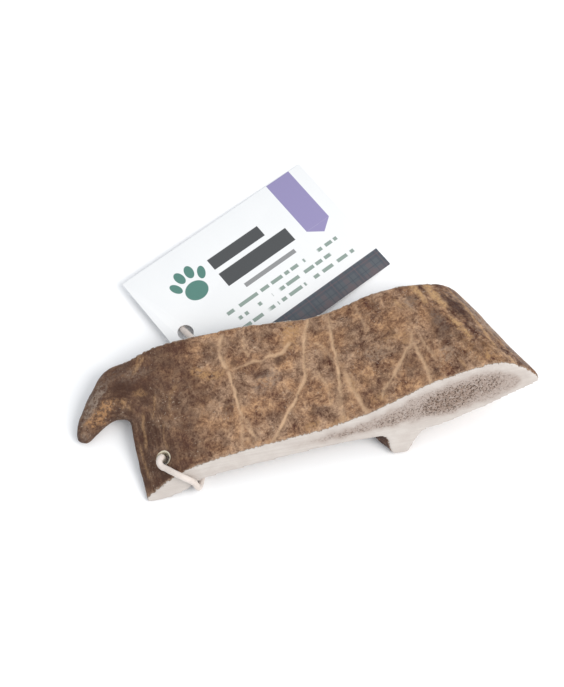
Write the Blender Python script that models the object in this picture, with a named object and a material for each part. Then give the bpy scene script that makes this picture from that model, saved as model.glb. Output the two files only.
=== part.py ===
"""A sawn slice of fallow deer antler, sold as a dog chew, with the card tag tied through it.

The antler is one natural piece: a slice of the flat palm, sawn along two sides, with a small
curved tine at its left end and the stub of another tine under its near side. A cord runs through
a hole drilled near one corner, round the sawn edge and under the slice, and ties on a card tag.
Metres, +Z up. The slice lies on the surface z = 0, its long side along X, and the origin is
under its middle.
"""

from math import cos, pi, radians, sin, tan

import bmesh
import bpy
from mathutils import Matrix, Vector, noise

MM = 0.001

# Both saw cuts lean back by the same angle, and run along X
SAW_LEAN = radians(26.0)
NEAR_CUT_Y = -28.07
PALM_WIDTH = 45.6
SAW_BLOCK_SIZE = 200.0

# The slice's long profile, from its left rim to its right rim, in millimetres.
# Each station is (x, underside, top), first along the near cut and then along the far cut.
NEAR_PROFILE = [
    (-60.9, 0.5, 2.4), (-57.3, 0.0, 4.4), (-52.8, 0.7, 7.6), (-46.3, 2.5, 11.0), (-39.6, 6.2, 12.8),
    (-22.0, 8.1, 15.7), (-5.0, 9.7, 17.2), (10.0, 10.6, 19.0), (22.0, 10.4, 22.2), (34.0, 9.4, 26.6),
    (46.0, 10.9, 30.3), (57.0, 13.9, 32.6), (66.0, 17.0, 32.9), (73.0, 19.2, 30.8), (78.5, 21.2, 27.0),
    (81.75, 22.6, 24.0),
]
FAR_PROFILE = [
    (-61.0, 3.5, 9.0), (-58.5, 3.6, 10.5), (-53.5, 4.6, 12.7), (-46.5, 6.0, 14.6), (-38.0, 7.3, 15.9),
    (-22.0, 8.8, 16.8), (-6.0, 8.8, 16.1), (8.0, 7.6, 15.4), (19.0, 5.2, 17.0), (30.0, 2.6, 20.2),
    (40.0, 0.3, 21.6), (48.0, -0.05, 21.0), (53.3, 1.4, 20.3), (57.2, 3.4, 19.1), (60.5, 6.0, 16.8),
    (62.7, 9.4, 13.7),
]
TOP_CROWN = 1.4
UNDERSIDE_HOLLOW = 3.0

# In plan the left rim swells out between the cuts and the right rim dips in, over three stations
LEFT_RIM_BULGE = 1.25
RIGHT_RIM_DIP = 1.3
RIM_STATIONS = 3
STEPS_PER_STATION = 3
ACROSS_STEPS = 12
SAW_ALLOWANCE = 0.12

# The tine that curls out of the left end: (centre, half width across, half height)
TINE = [
    ((-46.0, 11.4, 9.4), 9.9, 4.4), ((-56.0, 11.7, 8.0), 11.5, 5.0), ((-63.6, 11.5, 7.2), 10.8, 5.2),
    ((-69.7, 9.1, 6.2), 7.3, 4.9), ((-74.6, 5.2, 4.7), 5.2, 4.0), ((-78.3, 1.2, 3.2), 3.7, 3.0),
    ((-79.9, -2.2, 1.9), 2.0, 1.7),
]
TINE_SIDES = 20

# The stub of a tine under the near cut: (centre, half width, half depth)
STUB = [
    ((32.6, -15.0, 19.0), 11.0, 6.0), ((32.6, -19.4, 12.0), 9.0, 5.8), ((32.3, -21.8, 8.6), 6.6, 5.2),
    ((31.7, -23.6, 5.2), 4.7, 4.4), ((31.1, -25.0, 2.6), 4.0, 3.8), ((30.8, -25.8, 0.6), 3.4, 3.4),
]
# and the low ridge that runs back from it under the slice
HEEL = [
    ((25.4, -11.5, 12.4), 4.6, 4.4), ((25.8, -17.0, 7.6), 4.3, 4.2), ((27.6, -21.0, 4.4), 3.9, 3.6),
    ((30.6, -24.6, 2.6), 3.0, 2.6),
]
STUB_SIDES = 18

# Low lumps all over the bone
LUMP_HEIGHT = 0.5
LUMP_SPREAD = 13.0

# How finely the joined limbs are rounded into one skin, and the share of its faces that is kept
SKIN_VOXEL = 1.4
SKIN_SMOOTHING = 7
SKIN_SHARE = 0.33

# The drilled hole that holds the cord
HOLE_CENTRE = (-52.6, -15.7)
HOLE_RADIUS = 2.4
HOLE_SIDES = 20
DRILL_LENGTH = 60.0
DRILL_MIDDLE_HEIGHT = 8.0

# The card tag: a flat card that the cord props up along its left edge
CARD_LENGTH = 85.0
CARD_WIDTH = 55.0
CARD_THICKNESS = 0.45
CARD_TURN = radians(27.6)
CARD_PROP = radians(2.35)
CARD_RIGHT_EDGE = (31.2, 71.0, 0.1)
CARD_HOLE_RADIUS = 3.0
CARD_HOLE_INSET = 6.8
CARD_HOLE_OFF_MIDDLE = -2.6
CARD_HOLE_SIDES = 28
PUNCH_LENGTH = 6.0

# The cord: its route goes from the knot up through the drilled hole, over the near saw cut, under
# the slice, over the card and down through its hole, and back under the card to the knot
CORD_DIAMETER = 2.3
CORD_POINT_SPACING = 2.83
CORD_ROUTE = [
    (-42.5, -2.7, 2.8), (-45.8, -6.6, 2.0), (-49.0, -10.3, 1.5), (-51.3, -13.1, 2.2),
    (-52.6, -14.9, 4.4), (-52.9, -14.7, 7.2), (-53.4, -15.2, 9.2), (-54.2, -17.0, 10.0),
    (-53.6, -18.8, 10.1), (-52.2, -20.0, 10.5), (-50.6, -21.5, 11.0), (-49.1, -22.8, 11.4),
    (-47.5, -24.0, 11.3), (-45.9, -24.9, 10.3), (-44.4, -25.5, 8.9), (-43.3, -26.1, 7.2),
    (-42.6, -27.1, 5.3), (-42.0, -26.7, 3.5), (-41.1, -24.8, 2.5), (-39.9, -21.6, 2.1),
    (-37.2, -16.6, 1.8), (-31.6, -10.4, 1.4), (-27.2, -3.6, 1.4), (-25.3, 1.8, 2.6),
    (-24.8, 6.4, 4.3), (-25.4, 11.0, 5.3), (-27.6, 16.4, 5.4),
    (-31.0, 22.4, 5.4), (-33.8, 27.0, 5.4), (-35.5, 30.1, 5.1), (-36.7, 32.6, 3.5),
    (-37.8, 35.0, 1.8), (-37.8, 38.5, 1.3), (-35.4, 41.8, 1.3), (-31.8, 41.8, 1.3),
    (-29.3, 38.9, 1.3), (-28.9, 33.6, 1.3), (-30.6, 25.0, 1.3), (-33.8, 16.0, 1.4),
    (-37.4, 7.8, 2.0), (-39.2, 3.7, 2.8),
]

# The knot that closes the cord, under the slice
KNOT_CENTRE = (-40.4, 0.2, 3.0)
KNOT_HALF = (3.1, 3.1, 2.8)


def clear_scene():
    for thing in list(bpy.data.objects):
        bpy.data.objects.remove(thing, do_unlink=True)


def make_material(name, colour, roughness, metallic=0.0):
    material = bpy.data.materials.new(name)
    material.use_nodes = True
    shader = material.node_tree.nodes["Principled BSDF"]
    shader.inputs["Base Color"].default_value = (*colour, 1.0)
    shader.inputs["Roughness"].default_value = roughness
    shader.inputs["Metallic"].default_value = metallic
    return material


def add_mesh_object(name, mesh_builder, material=None):
    mesh = bpy.data.meshes.new(name)
    mesh_builder.to_mesh(mesh)
    mesh_builder.free()
    thing = bpy.data.objects.new(name, mesh)
    bpy.context.collection.objects.link(thing)
    if material:
        mesh.materials.append(material)
    return thing


def smooth_through(values, position):
    """Catmull-Rom value of a list of tuples at a fractional index."""
    last = len(values) - 1
    index = min(int(position), last - 1)
    t = position - index
    before = values[max(index - 1, 0)]
    here = values[index]
    ahead = values[index + 1]
    beyond = values[min(index + 2, last)]
    result = []
    for a, b, c, d in zip(before, here, ahead, beyond):
        bend = 2 * a - 5 * b + 4 * c - d
        twist = 3 * b - a - 3 * c + d
        result.append(0.5 * (2 * b + (c - a) * t + bend * t * t + twist * t ** 3))
    return tuple(result)


def lump(x, y, z):
    """A smooth bump height between about -1 and 1, the same every time."""
    return noise.noise(Vector((x, y, z)) / LUMP_SPREAD)


def arch_between_cuts(across):
    """0 at both cuts and 1 midway."""
    return 4 * across * (1 - across)


def dip_by_near_cut(across):
    """0 at both cuts and 1 a third of the way back from the near one."""
    return 27 / 4 * across * (1 - across) ** 2


def palm_point(along, across, side):
    """A point of the palm: along is a fractional station, across runs 0 to 1 from cut to cut."""
    near = smooth_through(NEAR_PROFILE, along)
    far = smooth_through(FAR_PROFILE, along)
    arch = arch_between_cuts(across)
    x = near[0] + (far[0] - near[0]) * across
    x -= LEFT_RIM_BULGE * arch * max(0.0, 1 - along / RIM_STATIONS)
    from_right = len(NEAR_PROFILE) - 1 - along
    x -= RIGHT_RIM_DIP * dip_by_near_cut(across) * max(0.0, 1 - from_right / RIM_STATIONS)
    if side == "top":
        z = near[2] + (far[2] - near[2]) * across + TOP_CROWN * arch
    else:
        z = near[1] + (far[1] - near[1]) * across + UNDERSIDE_HOLLOW * arch
    z += lump(x, PALM_WIDTH * across, z) * LUMP_HEIGHT
    y = NEAR_CUT_Y + PALM_WIDTH * across + z * tan(SAW_LEAN)
    return Vector((x, y, z)) * MM


def loft(builder, rings):
    """Skin closed rings of points in order, and close both ends."""
    rows = [[builder.verts.new(point) for point in ring] for ring in rings]
    for lower, upper in zip(rows, rows[1:]):
        for i in range(len(lower)):
            j = (i + 1) % len(lower)
            builder.faces.new((lower[i], lower[j], upper[j], upper[i]))
    builder.faces.new(list(reversed(rows[0])))
    builder.faces.new(rows[-1])


def palm_rings():
    """Closed sections of the palm, a little wider than the slice so that the saw can trim them."""
    rings = []
    span = 1 + 2 * SAW_ALLOWANCE
    across = [-SAW_ALLOWANCE + span * i / ACROSS_STEPS for i in range(ACROSS_STEPS + 1)]
    for step in range((len(NEAR_PROFILE) - 1) * STEPS_PER_STATION + 1):
        along = step / STEPS_PER_STATION
        top = [palm_point(along, v, "top") for v in across]
        underside = [palm_point(along, v, "underside") for v in reversed(across)]
        rings.append(underside + top)
    return rings


def limb_rings(sections, sides, up):
    """Elliptic sections along a limb, square to its path: half widths lie across up."""
    rings = []
    centres = [Vector(section[0]) for section in sections]
    for i, (centre, half_width, half_height) in enumerate(sections):
        ahead = centres[min(i + 1, len(centres) - 1)]
        behind = centres[max(i - 1, 0)]
        heading = (ahead - behind).normalized()
        sideways = heading.cross(up).normalized()
        upward = sideways.cross(heading).normalized()
        ring = []
        for k in range(sides):
            angle = 2 * pi * k / sides
            offset = sideways * half_width * cos(angle) + upward * half_height * sin(angle)
            ring.append((centres[i] + offset) * MM)
        rings.append(ring)
    return rings


def saw_block(name, wall_y, outward):
    """A wire-drawn block on the waste side of a saw cut."""
    builder = bmesh.new()
    bmesh.ops.create_cube(builder, size=SAW_BLOCK_SIZE * MM)
    block = add_mesh_object(name, builder)
    lean = Matrix.Rotation(-SAW_LEAN, 4, "X")
    waste_middle = lean @ Vector((0.0, outward * SAW_BLOCK_SIZE / 2, 0.0))
    block.matrix_world = Matrix.Translation((Vector((0.0, wall_y, 0.0)) + waste_middle) * MM) @ lean
    return block


def drill_rod():
    builder = bmesh.new()
    bmesh.ops.create_cone(
        builder, cap_ends=True, segments=HOLE_SIDES, depth=DRILL_LENGTH * MM,
        radius1=HOLE_RADIUS * MM, radius2=HOLE_RADIUS * MM)
    rod = add_mesh_object("drill_rod", builder)
    rod.location = Vector((*HOLE_CENTRE, DRILL_MIDDLE_HEIGHT)) * MM
    return rod


def as_cutter(cutter):
    cutter.hide_render = True
    cutter.display_type = "WIRE"
    return cutter


def cut_away(thing, cutter):
    cut = thing.modifiers.new("cut_" + cutter.name, "BOOLEAN")
    cut.operation = "DIFFERENCE"
    cut.solver = "EXACT"
    cut.object = as_cutter(cutter)


def make_antler(material):
    builder = bmesh.new()
    loft(builder, palm_rings())
    loft(builder, limb_rings(TINE, TINE_SIDES, Vector((0, 0, 1))))
    loft(builder, limb_rings(STUB, STUB_SIDES, Vector((0, 1, 0))))
    loft(builder, limb_rings(HEEL, STUB_SIDES, Vector((0, 1, 0))))
    bmesh.ops.recalc_face_normals(builder, faces=builder.faces)
    antler = add_mesh_object("antler", builder, material)

    skin = antler.modifiers.new("one_skin", "REMESH")
    skin.mode = "VOXEL"
    skin.voxel_size = SKIN_VOXEL * MM
    skin.use_smooth_shade = True
    rounding = antler.modifiers.new("rounded", "SMOOTH")
    rounding.factor = 0.5
    rounding.iterations = SKIN_SMOOTHING
    thinning = antler.modifiers.new("fewer_faces", "DECIMATE")
    thinning.decimate_type = "COLLAPSE"
    thinning.ratio = SKIN_SHARE

    cut_away(antler, saw_block("near_saw", NEAR_CUT_Y, -1))
    cut_away(antler, saw_block("far_saw", NEAR_CUT_Y + PALM_WIDTH, 1))
    cut_away(antler, drill_rod())
    return antler


def make_card(material):
    """The flat card, modelled from its right edge and turned and propped about that edge."""
    builder = bmesh.new()
    bmesh.ops.create_cube(builder, size=1.0)
    to_card = Matrix.Diagonal((CARD_LENGTH, CARD_WIDTH, CARD_THICKNESS, 1.0))
    shift = Matrix.Translation((-CARD_LENGTH / 2, 0.0, CARD_THICKNESS / 2))
    builder.transform(Matrix.Scale(MM, 4) @ shift @ to_card)
    hole_middle = Vector((CARD_HOLE_INSET - CARD_LENGTH, CARD_HOLE_OFF_MIDDLE, 0.0)) * MM
    for across_card in (Vector((1, 0, 0)), Vector((0, 1, 0))):
        everything = builder.verts[:] + builder.edges[:] + builder.faces[:]
        bmesh.ops.bisect_plane(builder, geom=everything, plane_co=hole_middle, plane_no=across_card)
    card = add_mesh_object("tag_card", builder, material)
    card.location = Vector(CARD_RIGHT_EDGE) * MM
    card.rotation_mode = "XYZ"
    card.rotation_euler = (0.0, CARD_PROP, CARD_TURN)

    builder = bmesh.new()
    bmesh.ops.create_cone(
        builder, cap_ends=True, segments=CARD_HOLE_SIDES, depth=PUNCH_LENGTH * MM,
        radius1=CARD_HOLE_RADIUS * MM, radius2=CARD_HOLE_RADIUS * MM)
    builder.transform(Matrix.Translation(hole_middle))
    punch = add_mesh_object("card_punch", builder)
    punch.parent = card
    cut_away(card, punch)
    return card


def even_points(route, spacing):
    """Points at an even spacing along the smooth curve through the route."""
    fine = []
    steps = 24
    for i in range((len(route) - 1) * steps + 1):
        fine.append(Vector(smooth_through(route, i / steps)))
    lengths = [0.0]
    for a, b in zip(fine, fine[1:]):
        lengths.append(lengths[-1] + (b - a).length)
    count = round(lengths[-1] / spacing)
    points = []
    at = 0
    for k in range(count + 1):
        target = lengths[-1] * k / count
        while at < len(fine) - 2 and lengths[at + 1] < target:
            at += 1
        share = (target - lengths[at]) / (lengths[at + 1] - lengths[at])
        points.append(fine[at].lerp(fine[at + 1], share))
    return points


def make_cord(material):
    curve = bpy.data.curves.new("tag_cord", "CURVE")
    curve.dimensions = "3D"
    curve.bevel_depth = CORD_DIAMETER / 2 * MM
    curve.bevel_resolution = 2
    curve.use_fill_caps = True
    points = even_points(CORD_ROUTE, CORD_POINT_SPACING)
    spline = curve.splines.new("POLY")
    spline.points.add(len(points) - 1)
    for spline_point, point in zip(spline.points, points):
        spline_point.co = (*(point * MM), 1.0)
    curve.materials.append(material)
    cord = bpy.data.objects.new("tag_cord", curve)
    bpy.context.collection.objects.link(cord)
    return cord


def make_knot(material):
    builder = bmesh.new()
    bmesh.ops.create_uvsphere(builder, u_segments=16, v_segments=10, radius=1.0)
    builder.transform(Matrix.Scale(MM, 4) @ Matrix.Diagonal((*KNOT_HALF, 1.0)))
    for face in builder.faces:
        face.smooth = True
    knot = add_mesh_object("cord_knot", builder, material)
    knot.location = Vector(KNOT_CENTRE) * MM
    return knot


def main():
    clear_scene()
    velvet_bone = make_material("velvet_side_bone", (0.20, 0.13, 0.08), 0.62)
    card_white = make_material("printed_card", (0.86, 0.87, 0.88), 0.45)
    cord_cream = make_material("cream_cord", (0.80, 0.75, 0.66), 0.80)
    make_antler(velvet_bone)
    make_card(card_white)
    make_cord(cord_cream)
    make_knot(cord_cream)


main()
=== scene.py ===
# %% [markdown]
# # A sawn slice of antler and its card tag
# The real thing is a dog chew: a slice sawn from the flat palm of a fallow deer's antler, with a
# small curved tine at one end. A card tag hangs from a cord through a drilled hole. The imported CAD
# model gives every size and place, so the first step loads it, and all the pieces made here stay
# inside its box.

# %% Load the imported model
from math import cos, pi, radians, sin, tan

import bmesh
import bpy
import numpy as np
from mathutils import Matrix, Vector, noise


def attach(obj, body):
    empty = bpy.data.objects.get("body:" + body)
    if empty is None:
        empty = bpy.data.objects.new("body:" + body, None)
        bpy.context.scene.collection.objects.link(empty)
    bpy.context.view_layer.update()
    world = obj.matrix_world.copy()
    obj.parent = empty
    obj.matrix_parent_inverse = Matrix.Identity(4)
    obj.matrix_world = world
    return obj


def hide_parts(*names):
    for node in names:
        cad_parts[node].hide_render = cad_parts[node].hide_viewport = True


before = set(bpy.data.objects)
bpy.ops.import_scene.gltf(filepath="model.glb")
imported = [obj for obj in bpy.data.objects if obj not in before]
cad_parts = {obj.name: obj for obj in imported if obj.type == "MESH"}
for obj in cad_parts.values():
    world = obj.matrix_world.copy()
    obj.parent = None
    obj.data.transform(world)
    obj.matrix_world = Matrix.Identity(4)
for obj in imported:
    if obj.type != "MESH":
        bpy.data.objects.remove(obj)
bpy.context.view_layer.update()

MM = 0.001

# %% [markdown]
# ## The camera
# The photograph looks down at the slice from high in front of it and a little from the left. The
# tag is a standard card of 85 x 55 mm, and its corners in the photograph give the angle, the
# distance and the lens. The camera is placed by those real measures, and not by eye.

# %% The camera
CAMERA_HEIGHT_ANGLE = radians(68.0)
CAMERA_TURN = radians(-11.05)
SENSOR_MM = 36.0
PHOTO_HEIGHT = 687
FOCAL_PIXELS = 1450.0
MM_PER_PIXEL = 0.3703
LOOK_AT = Vector((-2.5, 22.8, 0.0)) * MM

camera_data = bpy.data.cameras.new("camera")
camera_data.sensor_width = SENSOR_MM
camera_data.lens = SENSOR_MM * FOCAL_PIXELS / PHOTO_HEIGHT
camera = bpy.data.objects.new("camera", camera_data)
bpy.context.collection.objects.link(camera)
towards_camera = Vector((
    sin(CAMERA_TURN) * cos(CAMERA_HEIGHT_ANGLE),
    -cos(CAMERA_TURN) * cos(CAMERA_HEIGHT_ANGLE),
    sin(CAMERA_HEIGHT_ANGLE)))
camera.location = LOOK_AT + towards_camera * FOCAL_PIXELS * MM_PER_PIXEL * MM
camera.rotation_euler = towards_camera.to_track_quat("Z", "Y").to_euler()
bpy.context.scene.camera = camera
print("lens, mm:", round(camera_data.lens, 1), "distance, m:", round(camera.location.length, 3))

# %% [markdown]
# ## The cord
# The tag hangs on a round cotton cord, 2.3 mm thick, whose two ends are knotted under the slice. A
# curve with a bevel would be smooth like a wire. A plaited cord has strands that cross each other
# all the way round, so its skin is swept here ring by ring, and each ring's radius rises where one
# of two sets of strands passes.

# %% Points along a smooth route
def smooth_through(values, position):
    """Catmull-Rom value of a list of tuples at a fractional index."""
    last = len(values) - 1
    index = min(int(position), last - 1)
    t = position - index
    before = values[max(index - 1, 0)]
    here = values[index]
    ahead = values[index + 1]
    beyond = values[min(index + 2, last)]
    result = []
    for a, b, c, d in zip(before, here, ahead, beyond):
        bend = 2 * a - 5 * b + 4 * c - d
        twist = 3 * b - a - 3 * c + d
        result.append(0.5 * (2 * b + (c - a) * t + bend * t * t + twist * t ** 3))
    return tuple(result)


def even_points(route, spacing):
    """Points at an even spacing along the smooth curve through the route."""
    steps = 24
    fine = [Vector(smooth_through(route, i / steps)) for i in range((len(route) - 1) * steps + 1)]
    lengths = [0.0]
    for a, b in zip(fine, fine[1:]):
        lengths.append(lengths[-1] + (b - a).length)
    count = max(1, round(lengths[-1] / spacing))
    points = []
    at = 0
    for k in range(count + 1):
        target = lengths[-1] * k / count
        while at < len(fine) - 2 and lengths[at + 1] < target:
            at += 1
        share = (target - lengths[at]) / (lengths[at + 1] - lengths[at])
        points.append(fine[at].lerp(fine[at + 1], share))
    return points


# %% A skin swept along points
def skin_rings(builder, rings):
    """Join closed rings of points in order, and close both ends."""
    rows = [[builder.verts.new(point) for point in ring] for ring in rings]
    for lower, upper in zip(rows, rows[1:]):
        for i in range(len(lower)):
            j = (i + 1) % len(lower)
            builder.faces.new((lower[i], lower[j], upper[j], upper[i]))
    builder.faces.new(list(reversed(rows[0])))
    builder.faces.new(rows[-1])


def sweep(builder, points, sides, radius_at):
    """A tube along points in mm. radius_at takes an angle and the distance along the tube."""
    sideways = (points[1] - points[0]).orthogonal().normalized()
    rings = []
    travelled = 0.0
    for i, point in enumerate(points):
        behind = points[max(i - 1, 0)]
        heading = (points[min(i + 1, len(points) - 1)] - behind).normalized()
        sideways = (sideways - heading * sideways.dot(heading)).normalized()
        upward = heading.cross(sideways)
        travelled += (point - behind).length
        ring = []
        for k in range(sides):
            angle = 2 * pi * k / sides
            offset = sideways * cos(angle) + upward * sin(angle)
            ring.append((point + offset * radius_at(angle, travelled)) * MM)
        rings.append(ring)
    skin_rings(builder, rings)


def object_from(builder, name):
    """A smooth-shaded object in the scene, with its faces pointing out."""
    bmesh.ops.recalc_face_normals(builder, faces=builder.faces)
    mesh = bpy.data.meshes.new(name)
    builder.to_mesh(mesh)
    builder.free()
    mesh.shade_smooth()
    thing = bpy.data.objects.new(name, mesh)
    bpy.context.collection.objects.link(thing)
    return thing


# %% The cord's route and its plaited skin
CORD_DIAMETER = 2.3
CORD_SIDES = 24
CORD_RING_SPACING = 0.3
STRANDS = 3
STRAND_TURN = 0.95
STRAND_RELIEF = 0.09
CORD_ROUTE = [
    (-42.5, -2.7, 2.8), (-45.8, -6.6, 2.0), (-49.0, -10.3, 1.5), (-51.3, -13.1, 2.2),
    (-52.6, -14.9, 4.4), (-52.9, -14.7, 7.2), (-53.4, -15.2, 9.2), (-54.2, -17.0, 10.0),
    (-53.6, -18.8, 10.1), (-52.2, -20.0, 10.5), (-50.6, -21.5, 11.0), (-49.1, -22.8, 11.4),
    (-47.5, -24.0, 11.3), (-45.9, -24.9, 10.3), (-44.4, -25.5, 8.9), (-43.3, -26.1, 7.2),
    (-42.6, -27.1, 5.3), (-42.0, -26.7, 3.5), (-41.1, -24.8, 2.5), (-39.9, -21.6, 2.1),
    (-37.2, -16.6, 1.8), (-31.6, -10.4, 1.4), (-27.2, -3.6, 1.4), (-25.3, 1.8, 2.6),
    (-24.8, 6.4, 4.3), (-25.4, 11.0, 5.3), (-27.6, 16.4, 5.4),
    (-31.0, 22.4, 5.4), (-33.8, 27.0, 5.4), (-35.5, 30.1, 5.1), (-36.7, 32.6, 3.5),
    (-37.8, 35.0, 1.8), (-37.8, 38.5, 1.3), (-35.4, 41.8, 1.3), (-31.8, 41.8, 1.3),
    (-29.3, 38.9, 1.3), (-28.9, 33.6, 1.3), (-30.6, 25.0, 1.3), (-33.8, 16.0, 1.4),
    (-37.4, 7.8, 2.0), (-39.2, 3.7, 2.8),
]


def plait_radius(angle, distance):
    """The cord's radius where two sets of strands wind round it in opposite directions."""
    right_hand = cos(STRANDS * angle + STRAND_TURN * distance) ** 2
    left_hand = cos(STRANDS * angle - STRAND_TURN * distance) ** 2
    return CORD_DIAMETER / 2 - STRAND_RELIEF * (1 - max(right_hand, left_hand))


cord_points = even_points(CORD_ROUTE, CORD_RING_SPACING)
builder = bmesh.new()
sweep(builder, cord_points, CORD_SIDES, plait_radius)
cord = object_from(builder, "cord_plaited")

# %% [markdown]
# ## The knot
# The two ends meet in one tight overhand knot and stick out of it as short tails. An overhand
# knot's line is close to a trefoil, which three sines and cosines draw. Where the turns press on
# each other they share their surfaces, so the swept turns are remeshed into one skin with creases.

# %% Overlapping shapes into one skin
def apply_modifiers(thing):
    """Replace an object's mesh by what its modifiers make of it."""
    seen = thing.evaluated_get(bpy.context.evaluated_depsgraph_get())
    mesh = bpy.data.meshes.new_from_object(seen)
    thing.modifiers.clear()
    thing.data = mesh
    mesh.shade_smooth()


def one_skin(thing, voxel, rounding_steps):
    """Remesh overlapping shapes into one skin, and round it."""
    skin = thing.modifiers.new("one_skin", "REMESH")
    skin.mode = "VOXEL"
    skin.voxel_size = voxel * MM
    rounding = thing.modifiers.new("rounded", "SMOOTH")
    rounding.factor = 0.5
    rounding.iterations = rounding_steps


# %% The knot and its two tails
KNOT_CENTRE = Vector((-40.4, 0.2, 3.0))
KNOT_CORD_RADIUS = 1.02
KNOT_CORD_SIDES = 16
KNOT_TURN_RADIUS = 0.68
KNOT_TURN_HEIGHT = 1.35
KNOT_STEPS = 96
KNOT_TAILS = [
    [(0.6, 0.8, 0.2), (1.6, 1.2, 0.0), (2.2, 1.7, -0.5), (2.25, 2.0, -0.9)],
    [(-0.4, 0.9, 0.0), (-1.0, 1.7, -0.4), (-1.2, 2.1, -1.0), (-1.2, 2.15, -1.2)],
]
TAIL_RING_SPACING = 0.3
TAIL_THINNING = 0.85
KNOT_VOXEL = 0.16
KNOT_ROUNDING = 3


def trefoil(turn):
    around = Vector((sin(turn) + 2 * sin(2 * turn), cos(turn) - 2 * cos(2 * turn), 0.0))
    return around * KNOT_TURN_RADIUS + Vector((0.0, 0.0, -sin(3 * turn) * KNOT_TURN_HEIGHT))


builder = bmesh.new()
knot_turns = [KNOT_CENTRE + trefoil(2 * pi * i / KNOT_STEPS) for i in range(KNOT_STEPS + 1)]
sweep(builder, knot_turns, KNOT_CORD_SIDES, lambda angle, distance: KNOT_CORD_RADIUS)
for tail in KNOT_TAILS:
    tail_points = [KNOT_CENTRE + point for point in even_points(tail, TAIL_RING_SPACING)]
    sweep(builder, tail_points, KNOT_CORD_SIDES, lambda angle, distance: KNOT_CORD_RADIUS * TAIL_THINNING)
knot = object_from(builder, "knot_overhand")
one_skin(knot, KNOT_VOXEL, KNOT_ROUNDING)
apply_modifiers(knot)
print("knot triangles:", 2 * len(knot.data.polygons))

# %% [markdown]
# ## The antler's form
# Antler grows; nobody drew it. Its palm is a thin arched plate, and tines leave it in smooth
# swellings. Four lofted limbs that overlap, the palm, the tine, the stub and the stub's heel, are
# remeshed into one skin and rounded. Two blocks then take the saw's waste away and a rod drills the
# hole, in the order in which the real slice was made, so that only the cuts have sharp edges.

# %% The palm's outline on its two saw cuts
SAW_LEAN = radians(26.0)
NEAR_CUT_Y = -28.07
PALM_WIDTH = 45.6
NEAR_PROFILE = [  # (x, underside's height, top's height)
    (-60.9, 0.5, 2.4), (-57.3, 0.0, 4.4), (-52.8, 0.7, 7.6), (-46.3, 2.5, 11.0), (-39.6, 6.2, 12.8),
    (-22.0, 8.1, 15.7), (-5.0, 9.7, 17.2), (10.0, 10.6, 19.0), (22.0, 10.4, 22.2), (34.0, 9.4, 26.6),
    (46.0, 10.9, 30.3), (57.0, 13.9, 32.6), (66.0, 17.0, 32.9), (73.0, 19.2, 30.8), (78.5, 21.2, 27.0),
    (81.75, 22.6, 24.0),
]
FAR_PROFILE = [
    (-61.0, 3.5, 9.0), (-58.5, 3.6, 10.5), (-53.5, 4.6, 12.7), (-46.5, 6.0, 14.6), (-38.0, 7.3, 15.9),
    (-22.0, 8.8, 16.8), (-6.0, 8.8, 16.1), (8.0, 7.6, 15.4), (19.0, 5.2, 17.0), (30.0, 2.6, 20.2),
    (40.0, 0.3, 21.6), (48.0, -0.05, 21.0), (53.3, 1.4, 20.3), (57.2, 3.4, 19.1), (60.5, 6.0, 16.8),
    (62.7, 9.4, 13.7),
]
print("palm's stations:", len(NEAR_PROFILE), "on the near cut,", len(FAR_PROFILE), "on the far one")

# %% Points of the palm between the cuts
TOP_CROWN = 1.4
UNDERSIDE_HOLLOW = 3.0
LEFT_RIM_BULGE = 1.25
RIGHT_RIM_DIP = 1.3
RIM_STATIONS = 3  # how many stations from an end its rim reaches
LUMP_HEIGHT = 0.5
LUMP_SPREAD = 13.0


def arch_between_cuts(across):
    """0 at both cuts and 1 midway."""
    return 4 * across * (1 - across)


def dip_by_near_cut(across):
    """0 at both cuts and 1 a third of the way back from the near one."""
    return 27 / 4 * across * (1 - across) ** 2


def palm_point(along, across, side):
    """A point of the palm: along is a fractional station, across runs 0 to 1 from cut to cut."""
    near = smooth_through(NEAR_PROFILE, along)
    far = smooth_through(FAR_PROFILE, along)
    arch = arch_between_cuts(across)
    level = 2 if side == "top" else 1
    swell = TOP_CROWN if side == "top" else UNDERSIDE_HOLLOW
    x = near[0] + (far[0] - near[0]) * across
    x -= LEFT_RIM_BULGE * arch * max(0.0, 1 - along / RIM_STATIONS)
    from_right = len(NEAR_PROFILE) - 1 - along
    x -= RIGHT_RIM_DIP * dip_by_near_cut(across) * max(0.0, 1 - from_right / RIM_STATIONS)
    z = near[level] + (far[level] - near[level]) * across + swell * arch
    z += noise.noise(Vector((x, PALM_WIDTH * across, z)) / LUMP_SPREAD) * LUMP_HEIGHT
    y = NEAR_CUT_Y + PALM_WIDTH * across + z * tan(SAW_LEAN)
    return Vector((x, y, z)) * MM


# %% The palm's closed sections
STEPS_PER_STATION = 6
ACROSS_STEPS = 30
SAW_ALLOWANCE = 0.12  # share of the width that the saw trims at each cut


def palm_rings():
    """Closed sections of the palm, a little wider than the slice so that the saw can trim them."""
    span = 1 + 2 * SAW_ALLOWANCE
    across = [-SAW_ALLOWANCE + span * i / ACROSS_STEPS for i in range(ACROSS_STEPS + 1)]
    rings = []
    for step in range((len(NEAR_PROFILE) - 1) * STEPS_PER_STATION + 1):
        along = step / STEPS_PER_STATION
        top = [palm_point(along, v, "top") for v in across]
        underside = [palm_point(along, v, "underside") for v in reversed(across)]
        rings.append(underside + top)
    return rings


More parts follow.
